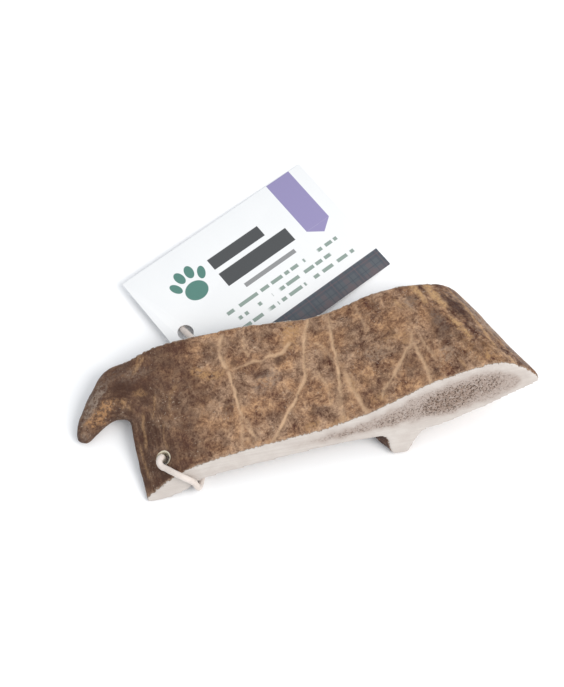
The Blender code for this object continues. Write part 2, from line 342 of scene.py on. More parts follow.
# %% The tine, the stub and its heel
TINE = [  # (centre, half width, half height)
    ((-46.0, 11.4, 9.4), 9.9, 4.4), ((-56.0, 11.7, 8.0), 11.5, 5.0), ((-63.6, 11.5, 7.2), 10.8, 5.2),
    ((-69.7, 9.1, 6.2), 7.3, 4.9), ((-74.6, 5.2, 4.7), 5.2, 4.0), ((-78.3, 1.2, 3.2), 3.7, 3.0),
    ((-79.9, -2.2, 1.9), 2.0, 1.7),
]
STUB = [
    ((32.6, -15.0, 19.0), 11.0, 6.0), ((32.6, -19.4, 12.0), 9.0, 5.8), ((32.3, -21.8, 8.6), 6.6, 5.2),
    ((31.7, -23.6, 5.2), 4.7, 4.4), ((31.1, -25.0, 2.6), 4.0, 3.8), ((30.8, -25.8, 0.6), 3.4, 3.4),
]
HEEL = [
    ((25.4, -11.5, 12.4), 4.6, 4.4), ((25.8, -17.0, 7.6), 4.3, 4.2), ((27.6, -21.0, 4.4), 3.9, 3.6),
    ((30.6, -24.6, 2.6), 3.0, 2.6),
]
LIMB_SIDES = 48


def limb_rings(sections, up):
    """Elliptic sections square to a limb's path; their half widths lie across up."""
    flat = [(*centre, half_width, half_height) for centre, half_width, half_height in sections]
    steps = (len(flat) - 1) * STEPS_PER_STATION
    fine = [smooth_through(flat, i / STEPS_PER_STATION) for i in range(steps + 1)]
    rings = []
    for i, (x, y, z, half_width, half_height) in enumerate(fine):
        ahead = Vector(fine[min(i + 1, steps)][:3])
        behind = Vector(fine[max(i - 1, 0)][:3])
        sideways = (ahead - behind).cross(up).normalized()
        upward = sideways.cross(ahead - behind).normalized()
        ring = []
        for k in range(LIMB_SIDES):
            angle = 2 * pi * k / LIMB_SIDES
            offset = sideways * half_width * cos(angle) + upward * half_height * sin(angle)
            ring.append((Vector((x, y, z)) + offset) * MM)
        rings.append(ring)
    return rings


# %% The saw's waste and the drill
CUTTER_SIZE = 200.0
HOLE_CENTRE = (-52.6, -15.7)
HOLE_RADIUS = 2.4
DRILL_SIDES = 48
DRILL_LENGTH = 60.0
DRILL_MIDDLE_HEIGHT = 8.0


def saw_block(name, wall_y, outward):
    """A block on the waste side of a saw cut."""
    builder = bmesh.new()
    bmesh.ops.create_cube(builder, size=CUTTER_SIZE * MM)
    block = object_from(builder, name)
    lean = Matrix.Rotation(-SAW_LEAN, 4, "X")
    waste_middle = lean @ Vector((0.0, outward * CUTTER_SIZE / 2, 0.0))
    place = Matrix.Translation((Vector((0.0, wall_y, 0.0)) + waste_middle) * MM)
    block.matrix_world = place @ lean
    return block


def drill_rod():
    """A rod as wide as the drilled hole, standing upright in its place."""
    builder = bmesh.new()
    bmesh.ops.create_cone(
        builder, cap_ends=True, segments=DRILL_SIDES, depth=DRILL_LENGTH * MM,
        radius1=HOLE_RADIUS * MM, radius2=HOLE_RADIUS * MM)
    rod = object_from(builder, "drill_rod")
    rod.location = Vector((*HOLE_CENTRE, DRILL_MIDDLE_HEIGHT)) * MM
    return rod


# %% Cut the slice out of the grown form
GROWN_VOXEL = 0.75
GROWN_ROUNDING = 15
SLICE_VOXEL = 0.5
SLICE_ROUNDING = 2

builder = bmesh.new()
skin_rings(builder, palm_rings())
skin_rings(builder, limb_rings(TINE, Vector((0, 0, 1))))
skin_rings(builder, limb_rings(STUB, Vector((0, 1, 0))))
skin_rings(builder, limb_rings(HEEL, Vector((0, 1, 0))))
antler = object_from(builder, "antler_slice")
one_skin(antler, GROWN_VOXEL, GROWN_ROUNDING)
cutters = [
    saw_block("near_saw", NEAR_CUT_Y, -1),
    saw_block("far_saw", NEAR_CUT_Y + PALM_WIDTH, 1),
    drill_rod(),
]
for cutter in cutters:
    cut = antler.modifiers.new("cut_" + cutter.name, "BOOLEAN")
    cut.operation = "DIFFERENCE"
    cut.solver = "EXACT"
    cut.object = cutter
one_skin(antler, SLICE_VOXEL, SLICE_ROUNDING)
apply_modifiers(antler)
for cutter in cutters:
    bpy.data.objects.remove(cutter, do_unlink=True)
print("antler triangles:", sum(len(face.vertices) - 2 for face in antler.data.polygons))

# %% [markdown]
# ## Marks on the outer side
# Blood vessels ran over the growing antler and left shallow channels, which the velvet's last dirt
# never filled: they show as tan veins. Round the two ends the grain turns into long streaks. All of
# it is drawn here as routes in plan, in millimetres, and each mark becomes a mesh attribute with a
# value from 0 to 1. Geometry and colour then read the same attribute, so a groove and its pale
# line can't slip apart.

# %% The skin as arrays
def read_points(mesh):
    flat = np.empty(len(mesh.vertices) * 3)
    mesh.vertices.foreach_get("co", flat)
    return flat.reshape(-1, 3) / MM


def read_normals(mesh):
    flat = np.empty(len(mesh.vertices) * 3)
    mesh.vertex_normals.foreach_get("vector", flat)
    return flat.reshape(-1, 3)


def noise_over(places, size, start=0.0):
    """Smooth noise, about -1 to 1, at each place; its lumps are about size mm across."""
    scaled = places / size + start
    return np.array([noise.noise(Vector(place)) for place in scaled])


def ease(value, low, high):
    """0 below low, 1 above high and an S-curve between them; low may be the larger one."""
    share = np.clip((value - low) / (high - low), 0.0, 1.0)
    return share * share * (3 - 2 * share)


def store(mesh, name, values):
    """Keep one value, or three, for each point as a mesh attribute."""
    values = np.asarray(values, dtype=np.float32)
    if values.ndim == 1:
        attribute = mesh.attributes.new(name, "FLOAT", "POINT")
        attribute.data.foreach_set("value", values)
    else:
        attribute = mesh.attributes.new(name, "FLOAT_VECTOR", "POINT")
        attribute.data.foreach_set("vector", values.ravel())


# %% How far each point is from a route in plan
def distance_to_route(plan, route):
    """For each plan point, its distance to a smooth route, and how far along the route it is."""
    line = [np.array(point[:2]) for point in even_points([(*p, 0.0) for p in route], 1.0)]
    best = np.full(len(plan), 1e9)
    along = np.zeros(len(plan))
    travelled = 0.0
    for a, b in zip(line, line[1:]):
        step = b - a
        length = np.hypot(*step)
        share = np.clip((plan - a) @ step / length ** 2, 0, 1)
        gap = np.hypot(*(plan - a - share[:, None] * step).T)
        closer = gap < best
        along[closer] = travelled + share[closer] * length
        best[closer] = gap[closer]
        travelled += length
    return best, along, travelled


# %% Soft lines and soft ovals
LINE_FADE = (-0.1, 2.5)  # mm from a line's end where it sets in and where it is full
LINE_OUTER = 1.35  # in half widths: nothing is left of the line from here on
LINE_INNER = 0.35  # and it is full up to here
OVAL_EDGE = (1.25, 0.55)  # the same for an oval


def drawn(plan, route, half_width):
    """A line from 0 to 1 along a route, soft at its sides and fading at both of its ends."""
    gap, along, whole = distance_to_route(plan, route)
    ends = np.minimum(ease(along, *LINE_FADE), ease(whole - along, *LINE_FADE))
    return ease(gap, half_width * LINE_OUTER, half_width * LINE_INNER) * ends


def spot(plan, centre, half_long, half_short, turn):
    """A soft oval from 0 to 1, its long side turned by turn degrees from X."""
    offset = plan - np.array(centre)
    c, s = cos(radians(turn)), sin(radians(turn))
    long_way = offset @ np.array((c, s)) / half_long
    short_way = offset @ np.array((-s, c)) / half_short
    return ease(np.hypot(long_way, short_way), *OVAL_EDGE)


def strongest(plan, drawings, widening):
    """The strongest of several drawn routes at each point."""
    value = np.zeros(len(plan))
    for strength, half_width, route in drawings:
        value = np.maximum(value, strength * drawn(plan, route, half_width * widening))
    return value


def strongest_spot(plan, spots):
    """The strongest of several soft ovals at each point."""
    value = np.zeros(len(plan))
    for strength, centre, half_long, half_short, turn in spots:
        value = np.maximum(value, strength * spot(plan, centre, half_long, half_short, turn))
    return value


# %% The veins, in plan
VEINS = [  # (strength, half width, route)
    (1.0, 0.56, [(8.0, 25.6), (6.2, 21.5), (4.2, 16.5), (3.2, 11.0), (2.4, 6.0), (1.6, 2.0),
                 (0.0, -1.5), (-2.6, -5.0), (-5.5, -8.8), (-9.0, -13.0), (-12.5, -17.5), (-14.6, -20.4)]),
    (1.0, 0.50, [(15.1, 26.0), (14.3, 19.0), (13.8, 14.0), (13.6, 9.5), (13.5, 5.0), (13.2, 0.0),
                 (12.8, -4.5), (12.3, -8.5)]),
    (0.5, 1.20, [(12.5, -6.0), (11.6, -11.0), (11.2, -15.0), (10.8, -19.5)]),
    (0.85, 0.68, [(-23.6, 25.0), (-25.4, 20.5), (-26.4, 15.5), (-25.6, 12.0), (-24.6, 8.5)]),
    (0.95, 0.52, [(-25.0, 10.0), (-24.0, 4.0), (-23.6, -1.0), (-23.3, -5.0), (-22.2, -9.0),
                  (-20.6, -12.5)]),
    (0.6, 0.70, [(-23.3, -7.0), (-23.4, -12.0), (-24.2, -16.0), (-24.8, -20.5)]),
    (0.8, 0.50, [(-22.6, -10.5), (-20.4, -15.0), (-18.6, -19.0)]),
    (0.6, 0.80, [(-25.6, -16.4), (-23.0, -16.8), (-20.6, -16.4)]),
    (0.6, 0.50, [(-24.0, 9.0), (-19.5, 9.9), (-15.0, 10.7), (-12.5, 10.3), (-9.8, 11.6), (-6.5, 11.7)]),
    (0.85, 0.75, [(-12.0, 10.6), (-9.8, 11.9), (-6.8, 11.8), (-4.3, 12.4), (-2.4, 14.3), (-0.4, 16.6)]),
    (0.45, 0.45, [(-16.2, 22.0), (-17.5, 18.6), (-17.0, 14.6), (-16.2, 11.4)]),
    (0.55, 0.70, [(5.8, 14.0), (8.3, 13.2), (10.3, 11.2), (11.6, 8.4), (12.6, 5.6)]),
    (0.55, 0.50, [(5.8, 3.4), (7.4, -0.8), (8.7, -4.8), (8.5, -9.0), (7.8, -12.6)]),
    (0.8, 0.80, [(15.2, 1.0), (16.0, -4.0), (17.2, -8.0), (18.4, -12.0), (19.8, -18.0)]),
    (0.4, 0.45, [(16.6, 0.5), (17.6, -2.2), (18.6, -4.6)]),
    (0.75, 0.62, [(40.9, 9.5), (40.3, 5.0), (38.8, 2.0), (37.2, 1.0), (35.5, -1.5), (33.5, -4.0),
                  (31.0, -6.6), (28.5, -9.0), (26.6, -11.3), (25.9, -14.5)]),
    (0.8, 0.70, [(40.4, 3.6), (41.4, -1.5), (42.4, -6.0), (42.6, -10.0), (42.6, -15.0)]),
    (0.65, 0.50, [(43.2, 5.6), (44.4, 1.4), (45.6, -2.5), (47.0, -6.2)]),
    (0.45, 0.45, [(30.4, 6.2), (32.0, 3.6), (33.7, 1.4)]),
    (0.75, 0.32, [(-31.4, -10.8), (-30.0, -11.5), (-28.9, -12.3), (-27.6, -12.7)]),
    (0.35, 0.40, [(24.2, 25.5), (25.4, 20.0), (26.0, 15.0), (27.4, 11.0)]),
]
UNDERSIDE_VEINS = [
    (0.8, 0.7, [(-50.0, -8.0), (-38.0, 2.0), (-24.0, 8.0), (-10.0, 9.0), (6.0, 4.0)]),
    (0.7, 0.6, [(-24.0, 8.0), (-18.0, -2.0), (-8.0, -12.0), (2.0, -20.0)]),
    (0.8, 0.7, [(70.0, -10.0), (58.0, -2.0), (48.0, 8.0), (36.0, 14.0)]),
    (0.6, 0.6, [(58.0, -2.0), (46.0, -6.0), (38.0, -14.0)]),
]
print("veins:", len(VEINS), "on top and", len(UNDERSIDE_VEINS), "below")

# %% The streaks near both ends
STREAKS = [  # (strength, half width, route)
    (0.9, 1.15, [(45.0, 29.5), (46.8, 25.0), (48.4, 20.4), (49.2, 17.0)]),
    (1.0, 1.45, [(50.0, 29.0), (52.3, 23.0), (54.0, 18.0), (55.6, 13.8)]),
    (1.0, 0.70, [(54.6, 11.2), (56.8, 7.2), (59.0, 3.0), (60.6, -1.4)]),
    (0.6, 0.60, [(61.2, 17.0), (63.2, 10.0), (65.2, 3.0), (66.8, -2.6), (67.2, -6.5)]),
    (0.5, 0.35, [(58.8, 24.0), (60.6, 18.0), (62.8, 12.0), (64.6, 7.0)]),
    (0.55, 0.70, [(37.6, 24.0), (38.8, 20.6), (40.4, 17.2)]),
    (0.4, 0.60, [(40.4, 21.0), (42.4, 17.0), (44.6, 14.6)]),
    (0.35, 0.70, [(54.0, -5.0), (55.0, -9.0), (56.0, -13.0)]),
    (0.5, 0.60, [(70.5, -8.0), (72.0, -12.0), (74.0, -15.0)]),
    (0.3, 0.45, [(66.0, 6.0), (69.0, -1.0), (72.4, -8.0)]),
    (0.4, 0.55, [(-57.0, 3.0), (-57.6, -4.0), (-58.0, -12.0)]),
    (0.4, 0.50, [(-51.4, 7.6), (-52.6, 3.0), (-53.4, -2.0)]),
    (0.35, 0.45, [(-59.8, -8.0), (-59.4, -15.0), (-58.4, -22.0)]),
    (0.3, 0.40, [(-50.4, -3.0), (-50.8, -9.0), (-50.2, -14.0)]),
    (0.45, 0.65, [(-52.6, 22.6), (-55.4, 19.4), (-58.6, 15.6)]),
    (0.3, 0.60, [(-43.0, 9.0), (-46.0, 5.0), (-48.0, 0.0)]),
    (0.4, 0.50, [(-60.2, 2.6), (-62.2, 6.0), (-66.0, 7.8)]),
]
print("streaks:", len(STREAKS))

# %% Dark, ochre, pale and grey patches, painted light on the tine and painted shade on the heel
DARK_SPOTS = [  # (strength, centre, half long, half short, turn in degrees)
    (1.0, (58.9, 14.5), 7.0, 2.4, 112.0), (0.75, (51.0, 7.5), 9.0, 3.6, 100.0),
    (0.7, (44.5, 21.0), 3.0, 2.0, 90.0), (0.6, (30.8, 22.5), 3.0, 1.6, 90.0),
    (0.55, (38.0, -5.0), 4.6, 2.6, 75.0), (0.8, (45.4, -10.0), 2.6, 1.4, 90.0),
    (0.6, (33.5, 10.0), 2.4, 1.8, 0.0), (0.9, (-5.6, 9.6), 2.8, 1.7, 25.0),
    (0.75, (2.2, -11.6), 2.7, 1.8, 0.0), (0.7, (-20.2, -17.2), 1.8, 1.5, 0.0),
    (0.8, (-22.2, 11.4), 1.7, 1.9, 0.0), (0.5, (-14.5, 5.5), 4.0, 1.8, 0.0),
    (0.5, (8.8, 19.8), 2.2, 4.0, 0.0), (0.55, (21.5, -4.5), 3.4, 1.5, -55.0),
    (0.6, (20.6, -12.8), 2.6, 0.7, -65.0), (0.5, (27.2, -10.4), 3.2, 0.6, 50.0),
    (0.9, (-61.5, 11.0), 6.0, 3.6, 10.0), (0.8, (-55.4, 8.6), 5.0, 2.2, 80.0),
    (0.75, (-62.6, 19.2), 5.5, 2.2, 28.0), (0.8, (-61.6, 3.6), 2.6, 1.6, 0.0),
    (0.7, (-54.2, -7.6), 4.2, 2.6, 80.0), (0.55, (-38.8, 9.0), 4.0, 3.0, 60.0),
    (0.6, (-29.6, 18.6), 4.0, 3.4, 90.0), (0.5, (-49.4, 1.0), 2.6, 2.0, 0.0),
    (0.45, (-45.6, 17.5), 3.0, 2.6, 0.0), (0.5, (-35.0, 3.6), 2.0, 3.4, 40.0),
    (0.4, (-11.0, 20.5), 5.0, 2.8, 0.0), (0.6, (-60.0, -20.0), 5.0, 1.5, 90.0),
    (0.5, (76.0, -14.0), 4.0, 1.5, 120.0), (0.5, (9.2, 8.0), 2.2, 3.6, 0.0),
    (0.45, (-20.6, 20.0), 2.8, 2.4, 0.0), (0.5, (-27.2, -4.6), 2.0, 3.0, 0.0),
    (0.9, (-33.4, 10.3), 1.2, 0.8, 0.0), (0.6, (-27.5, 12.8), 1.2, 1.0, 0.0),
    (0.5, (-53.0, -19.6), 4.5, 2.2, 70.0), (0.75, (-57.6, -8.0), 5.5, 2.4, 88.0),
    (0.7, (56.2, 0.4), 4.2, 1.6, 112.0), (0.6, (60.8, -5.0), 3.2, 1.6, 105.0),
    (0.45, (68.4, 0.6), 4.5, 1.6, 112.0), (0.9, (-66.4, 4.6), 2.4, 1.0, 20.0),
    (0.4, (-42.0, -6.5), 3.2, 2.4, 60.0), (0.35, (0.5, 4.5), 2.4, 1.2, 80.0),
    (0.45, (-31.6, -16.5), 3.0, 1.6, 20.0), (0.4, (20.5, 8.6), 2.2, 1.8, 0.0),
    (0.45, (-36.0, -2.0), 7.0, 4.5, 20.0),
]
OCHRE_SPOTS = [
    (1.0, (-33.0, 9.8), 5.2, 2.3, -35.0), (0.75, (-27.8, 8.6), 3.0, 1.8, 20.0),
    (1.0, (0.2, 20.5), 3.2, 3.4, 60.0), (0.75, (-1.2, 15.2), 3.0, 2.2, 30.0),
    (0.35, (66.5, -8.5), 9.0, 3.0, 113.0), (0.25, (58.5, -5.0), 8.0, 2.4, 108.0),
    (1.0, (63.5, -8.4), 2.6, 1.3, 100.0), (0.6, (0.6, -16.5), 3.6, 1.6, 10.0),
    (0.5, (25.0, -12.6), 3.4, 1.4, 10.0), (0.6, (17.0, -6.0), 1.6, 4.0, 20.0),
    (0.5, (35.0, 8.0), 5.5, 1.2, 0.0), (0.45, (38.5, 5.0), 2.2, 1.6, 0.0),
    (0.45, (-55.6, 20.8), 3.0, 0.9, 45.0), (0.7, (57.6, 5.4), 5.0, 1.1, 115.0),
    (0.4, (30.0, -17.0), 4.0, 1.2, 0.0), (0.5, (-57.2, 8.8), 2.6, 1.5, 0.0),
    (0.5, (-63.4, 6.6), 1.8, 1.3, 30.0), (0.5, (52.8, 22.0), 5.0, 1.0, 108.0),
    (0.5, (66.5, -13.0), 3.0, 1.2, 20.0), (0.4, (10.0, -17.5), 4.0, 1.2, 10.0),
]
PALE_SPOTS = [
    (0.7, (14.8, 8.0), 4.5, 1.6, 95.0), (0.6, (15.2, -1.0), 4.0, 1.6, 100.0),
    (0.6, (-21.6, -17.2), 2.2, 1.6, 0.0), (0.5, (-25.6, 9.0), 3.2, 2.6, 0.0),
    (0.5, (-28.6, 14.4), 1.6, 2.4, 0.0), (0.4, (-43.0, 10.0), 2.4, 3.4, 0.0),
    (0.35, (-47.5, 20.0), 3.4, 1.8, 0.0), (0.4, (-38.6, -15.2), 1.4, 3.0, 0.0),
    (0.5, (-16.0, 10.3), 2.6, 1.2, 0.0), (0.4, (26.6, 18.6), 1.4, 3.6, 10.0),
    (0.45, (29.0, 4.0), 4.6, 3.0, 0.0), (0.45, (41.4, 12.6), 1.6, 3.0, 0.0),
    (0.4, (24.0, -7.8), 2.2, 1.4, 30.0), (1.0, (-9.2, 12.1), 3.0, 1.2, 14.0),
    (0.4, (51.0, -4.0), 2.0, 4.0, 0.0), (0.35, (-13.5, -8.0), 3.6, 2.0, 20.0),
    (0.35, (20.0, 12.5), 3.0, 3.0, 0.0), (0.4, (-35.4, 1.5), 1.6, 1.2, 0.0),
]
GREY_SPOTS = [
    (1.0, (-73.5, 9.5), 9.0, 2.4, 50.0), (0.3, (-58.0, 16.0), 6.0, 3.0, 20.0),
    (0.4, (-64.5, 17.5), 5.0, 2.0, 30.0), (0.95, (66.5, 11.0), 14.0, 3.2, 113.0),
    (0.7, (74.5, -5.0), 10.0, 2.6, 113.0),
    (0.6, (51.5, 9.5), 6.0, 2.4, 100.0), (0.5, (43.0, 20.0), 3.6, 2.0, 90.0),
    (0.5, (27.5, 3.5), 4.5, 3.5, 0.0), (0.5, (50.0, -3.5), 3.4, 3.0, 60.0),
    (0.45, (-12.0, 3.0), 6.0, 3.4, 30.0), (0.5, (-78.0, 0.5), 3.0, 1.6, 60.0),
]
# A patch on the tine's flank that faces the lamp, painted lighter and more orange: painted light.
TINE_PAINTED_LIGHT = (1.0, (-72.0, 4.8), 7.4, 2.6, 30.0)
# The heel behind the stub, darkened on its underside: its own dark skin and painted shade.
HEEL_PAINTED_SHADE = (1.5, (24.5, -19.5), 7.0, 10.0, 0.0)
print("patches:", sum(len(spots) for spots in (DARK_SPOTS, OCHRE_SPOTS, PALE_SPOTS, GREY_SPOTS)))

# %% [markdown]
# ## The grain's direction
# At the left the grain runs along the rim and out into the tine, and at the right it runs along the
# rolled edge. A noise texture that is stretched along one fixed axis would cross those edges. So
# each point keeps its own two grain measures, the distance along the nearest rim and the distance
# in from it, and the textures are stretched along the first.

# %% Two rims that lead the grain
LEFT_RIM = [
    (-80.5, -1.0), (-76.0, 1.6), (-71.0, 3.2), (-66.0, 3.5), (-62.4, 1.6), (-61.2, -3.0),
    (-60.8, -12.0), (-60.9, -30.0),
]
RIGHT_RIM = [(61.0, 30.0), (66.0, 17.0), (73.0, 2.0), (82.0, -17.5)]
LEFT_GRAIN = (21.0, 5.0)  # mm in from the left rim where the grain sets in and where it is full
RIGHT_GRAIN = (23.0, 13.0)


def grain_measures(plan):
    """Along and in from the nearer rim, in mm, and how strongly the grain shows there."""
    left_in, left_along, _ = distance_to_route(plan, LEFT_RIM)
    right_in, right_along, _ = distance_to_route(plan, RIGHT_RIM)
    at_left = plan[:, 0] < 0
    measure_in = np.where(at_left, left_in, right_in)
    measure_along = np.where(at_left, left_along, right_along)
    share = np.where(at_left, ease(left_in, *LEFT_GRAIN), ease(right_in, *RIGHT_GRAIN))
    return measure_along, measure_in, share


points = read_points(antler.data)
normals = read_normals(antler.data)
grain_along, grain_in, grain_share = grain_measures(points[:, :2])
print("points:", len(points), "with grain:", int((grain_share > 0.5).sum()))

# %% [markdown]
# ## Where each mark shows
# A mark that is drawn in plan would print itself on the underside too, and on the saw cuts. So each
# point first learns how deep it lies behind the two cuts and whether it faces up. The dark ridge
# behind the stub faces up as well, but it belongs to the underside, so it is taken out by its
# place. Smooth noise pushes the plan about a little before the marks are read, which gives the
# drawn lines and ovals the unsteady edges of grown ones.

# %% Saw cuts, the upper side and the underside
SAW_SKIN = 0.22  # a point this near to a saw plane, in mm, lies on the cut
UP_FACING = (-0.15, 0.25)  # the normal's height where the upper side sets in and where it is full
HEEL_ALONG = (17.0, 20.0)  # x, y and z in mm where the ridge's mask sets in and where it is full
HEEL_FORWARD = (-6.0, -9.0)
HEEL_DOWN = (15.0, 12.0)


def saw_depths(points):
    """How far each point lies in from the near and from the far saw cut, in mm."""
    inward = np.array((0.0, cos(SAW_LEAN), -sin(SAW_LEAN)))
    near = (points - (0.0, NEAR_CUT_Y, 0.0)) @ inward
    return near, PALM_WIDTH * cos(SAW_LEAN) - near


near_depth, far_depth = saw_depths(points)
on_saw = np.minimum(near_depth, far_depth) < SAW_SKIN
by_heel = (ease(points[:, 0], *HEEL_ALONG) * ease(points[:, 1], *HEEL_FORWARD)
           * ease(points[:, 2], *HEEL_DOWN))
up_side = ease(normals[:, 2], *UP_FACING) * (1 - by_heel)
print("points on a saw cut:", int(on_saw.sum()), "on the upper side:", int((up_side > 0.5).sum()))

# %% Collect the marks at every point
LINE_SWELLING = 0.5
VEIN_PRESENCE = 0.95
VEIN_FADING = 0.5
FAINTEST_VEIN = 0.45
HALO_WIDTH = 3.6
HALO_STRENGTH = 0.55


def wandering(size, reach, starts):
    """A push in plan for each point, of up to about reach mm, in lumps of size mm."""
    return np.column_stack([noise_over(points, size, start) for start in starts]) * reach


fray = wandering(size=1.3, reach=0.28, starts=(31.0, 63.0))
plan = points[:, :2] + wandering(size=4.5, reach=0.45, starts=(3.0, 47.0)) + fray
rough_plan = plan + wandering(size=2.0, reach=1.1, starts=(9.0, 71.0))
swelling = 1.0 + LINE_SWELLING * noise_over(points, 3.2, 77.0)
vein = strongest(plan, VEINS, swelling) * up_side
vein += strongest(plan, UNDERSIDE_VEINS, swelling) * (1 - up_side)
vein *= np.clip(VEIN_PRESENCE + VEIN_FADING * noise_over(points, 4.0, 83.0), FAINTEST_VEIN, 1.0)
streak = strongest(plan, STREAKS, swelling) * up_side
# The tine's mark is painted light on the flank that faces the lamp.
dark, ochre, glow, grey, pale = [
    strongest_spot(rough_plan, spots) * up_side
    for spots in (DARK_SPOTS, OCHRE_SPOTS, [TINE_PAINTED_LIGHT], GREY_SPOTS, PALE_SPOTS)]
# Painted shade: the heel's underside behind the stub is darkened, on top of its own dark skin.
dark += strongest_spot(rough_plan, [HEEL_PAINTED_SHADE]) * (1 - up_side)
halo = HALO_STRENGTH * strongest(rough_plan, VEINS, HALO_WIDTH) * up_side
pale = np.maximum(halo, pale)
print("points in a vein:", int((vein > 0.5).sum()), "in a dark patch:", int((dark > 0.5).sum()))

# %% [markdown]
# ## The spongy core
# A saw opens the bone: a dense pale rind, and inside it a grey-brown sponge of fine struts and
# pores, wide where the palm is thick and thin to nothing at its left. The sponge lies in a lens
# between the upper and lower rind, so the core's mask comes from two lines on the saw cut, and the
# far cut has a lens of its own. Rind turns into sponge by degrees, so the same lens is read once
# more with a softer edge: that veil greys the bone a little all round the core.

# %% The core's lens on each saw cut
NEAR_CORE = [  # (x, lowest and highest height up the cut in mm)
    (-30.0, 12.6, 12.7), (-10.0, 14.4, 15.0), (0.0, 14.9, 16.5), (10.0, 15.3, 18.2), (20.0, 15.8, 20.4),
    (30.0, 16.6, 24.4), (40.0, 17.2, 28.4), (50.0, 17.6, 31.6), (60.0, 20.0, 33.4), (66.0, 21.6, 33.2),
    (70.0, 22.8, 31.0), (74.0, 25.8, 28.4), (76.0, 27.0, 27.2),
]
FAR_CORE = [
    (-50.0, 11.0, 11.1), (-30.0, 13.2, 15.0), (-10.0, 13.0, 15.6), (8.0, 11.6, 14.6), (20.0, 8.6, 15.6),
    (32.0, 5.6, 19.4), (44.0, 3.4, 20.4), (52.0, 4.2, 18.8), (58.0, 8.0, 15.4), (61.0, 10.0, 11.0),
]
CORE_SOFTNESS = 2.0
VEIL_SOFTNESS = 4.5
INNER_SOFTNESS = 0.6  # how much of the softness lies inside the lens
THIN_LENS = (0.2, 3.0)  # a lens this thin, in mm, shows nothing, or all of its core
CORE_EDGE_WAVE = 1.1


def core_share(points, lens, edge_wave, softness):
    """1 inside the lens on a cut, 0 outside it, with a soft edge that wanders."""
    height_up_cut = points[:, 2] / cos(SAW_LEAN)
    stations, lowest, highest = np.array(lens).T
    low = np.interp(points[:, 0], stations, lowest)
    high = np.interp(points[:, 0], stations, highest)
    inside = np.minimum(height_up_cut - low, high - height_up_cut) + edge_wave
    return ease(inside, -softness, INNER_SOFTNESS * softness) * ease(high - low, *THIN_LENS)


near_half = near_depth < far_depth
edge_wave = CORE_EDGE_WAVE * noise_over(points, 3.4, 91.0)
core, veil = [
    np.where(near_half, core_share(points, NEAR_CORE, edge_wave, softness),
             core_share(points, FAR_CORE, edge_wave, softness)) * on_saw
    for softness in (CORE_SOFTNESS, VEIL_SOFTNESS)]
print("points in the core:", int((core > 0.5).sum()), "in its veil:", int((veil > 0.5).sum()))

# %% Where the pores crowd
GREY_END = (0.5, (74.5, 24.5), 7.0, 3.5, -50.0)
DENSE_PORES = [
    (1.0, (49.5, 23.8), 12.0, 5.6, 17.0), (0.65, (61.0, 27.2), 8.0, 4.8, 10.0),
    (0.45, (30.0, 19.4), 9.0, 2.8, 16.0), (0.35, (14.0, 16.6), 7.0, 1.4, 5.0),
]
FAR_DENSITY = 0.5
CUT_FRAY = 3.0

end_plan = np.column_stack([points[:, 0], points[:, 2]])
veil = np.maximum(veil, on_saw * near_half * strongest_spot(end_plan, [GREY_END]))
cut_plan = np.column_stack([points[:, 0], points[:, 2] / cos(SAW_LEAN)]) + fray * CUT_FRAY
dense = np.where(near_half, strongest_spot(cut_plan, DENSE_PORES), FAR_DENSITY * core) * core
print("points where pores crowd:", int((dense > 0.5).sum()))

# %% [markdown]
# ## Relief
# Every point now moves along its normal: the outer side gets low swellings, pearly knobs, grooves
# under the veins and ridges along the grain; the saw cuts stay flat but for pores; and the rims
# between them lose small chips. The moves are a fraction of a millimetre, yet they break the light
# in the way that the eye reads as antler. The skin also rises a little everywhere, and more at the
# right end and along the far edge at the left, to bring its outline out to the real one.

# %% The relief of the outer side
SWELL_HEIGHT = 0.16
KNOB_HEIGHT = 0.17
KNOB_FOOT = 0.3  # taken off the knobs, so that the hollows between them sink
PIT_DEPTH = 0.16
PIT_EDGE = (0.25, 0.6)
GRAIN_HEIGHT = 0.13
GRAIN_STRETCH = 0.10
GRAIN_CALM = 0.6  # how much the grain stills the knobs and the pits
STREAK_HEIGHT = 0.12
VEIN_DEPTH = 0.34

calm = 1 - GRAIN_CALM * grain_share
grain_place = np.column_stack([grain_along * GRAIN_STRETCH, grain_in, points[:, 2]])
knobs = np.abs(noise_over(points, 1.9, 13.0)) - KNOB_FOOT
pits = ease(noise_over(points, 1.25, 29.0), *PIT_EDGE)
ridges = noise_over(grain_place, 1.5, 5.0) * grain_share
relief = SWELL_HEIGHT * noise_over(points, 5.5, 21.0)
relief += KNOB_HEIGHT * knobs * calm - PIT_DEPTH * pits * calm
relief += GRAIN_HEIGHT * ridges + STREAK_HEIGHT * streak - vein * VEIN_DEPTH
print("outer relief, mm:", round(float(relief.min()), 2), "to", round(float(relief.max()), 2))

# %% Chipped rims, and what the rounding took
RIM_REACH = (1.4, 0.15)  # mm in from a cut where its rim sets in and where it is full
RIM_CALM = 0.7  # how much a rim stills the relief beside it
CHIP_DEPTH = 0.32
CHIP_EDGE = (0.1, 0.5)
ROUNDING_LOSS = 0.12  # what the rounding took off the skin, given back
END_RISE = 0.40  # added besides at the right end
END_REACH = (52.0, 66.0)  # x in mm
FAR_EDGE_RISE = 0.5  # added besides along the far edge at the left
FAR_EDGE_DEPTH = (6.0, 1.0)
FAR_EDGE_REACH = (-38.0, -48.0)

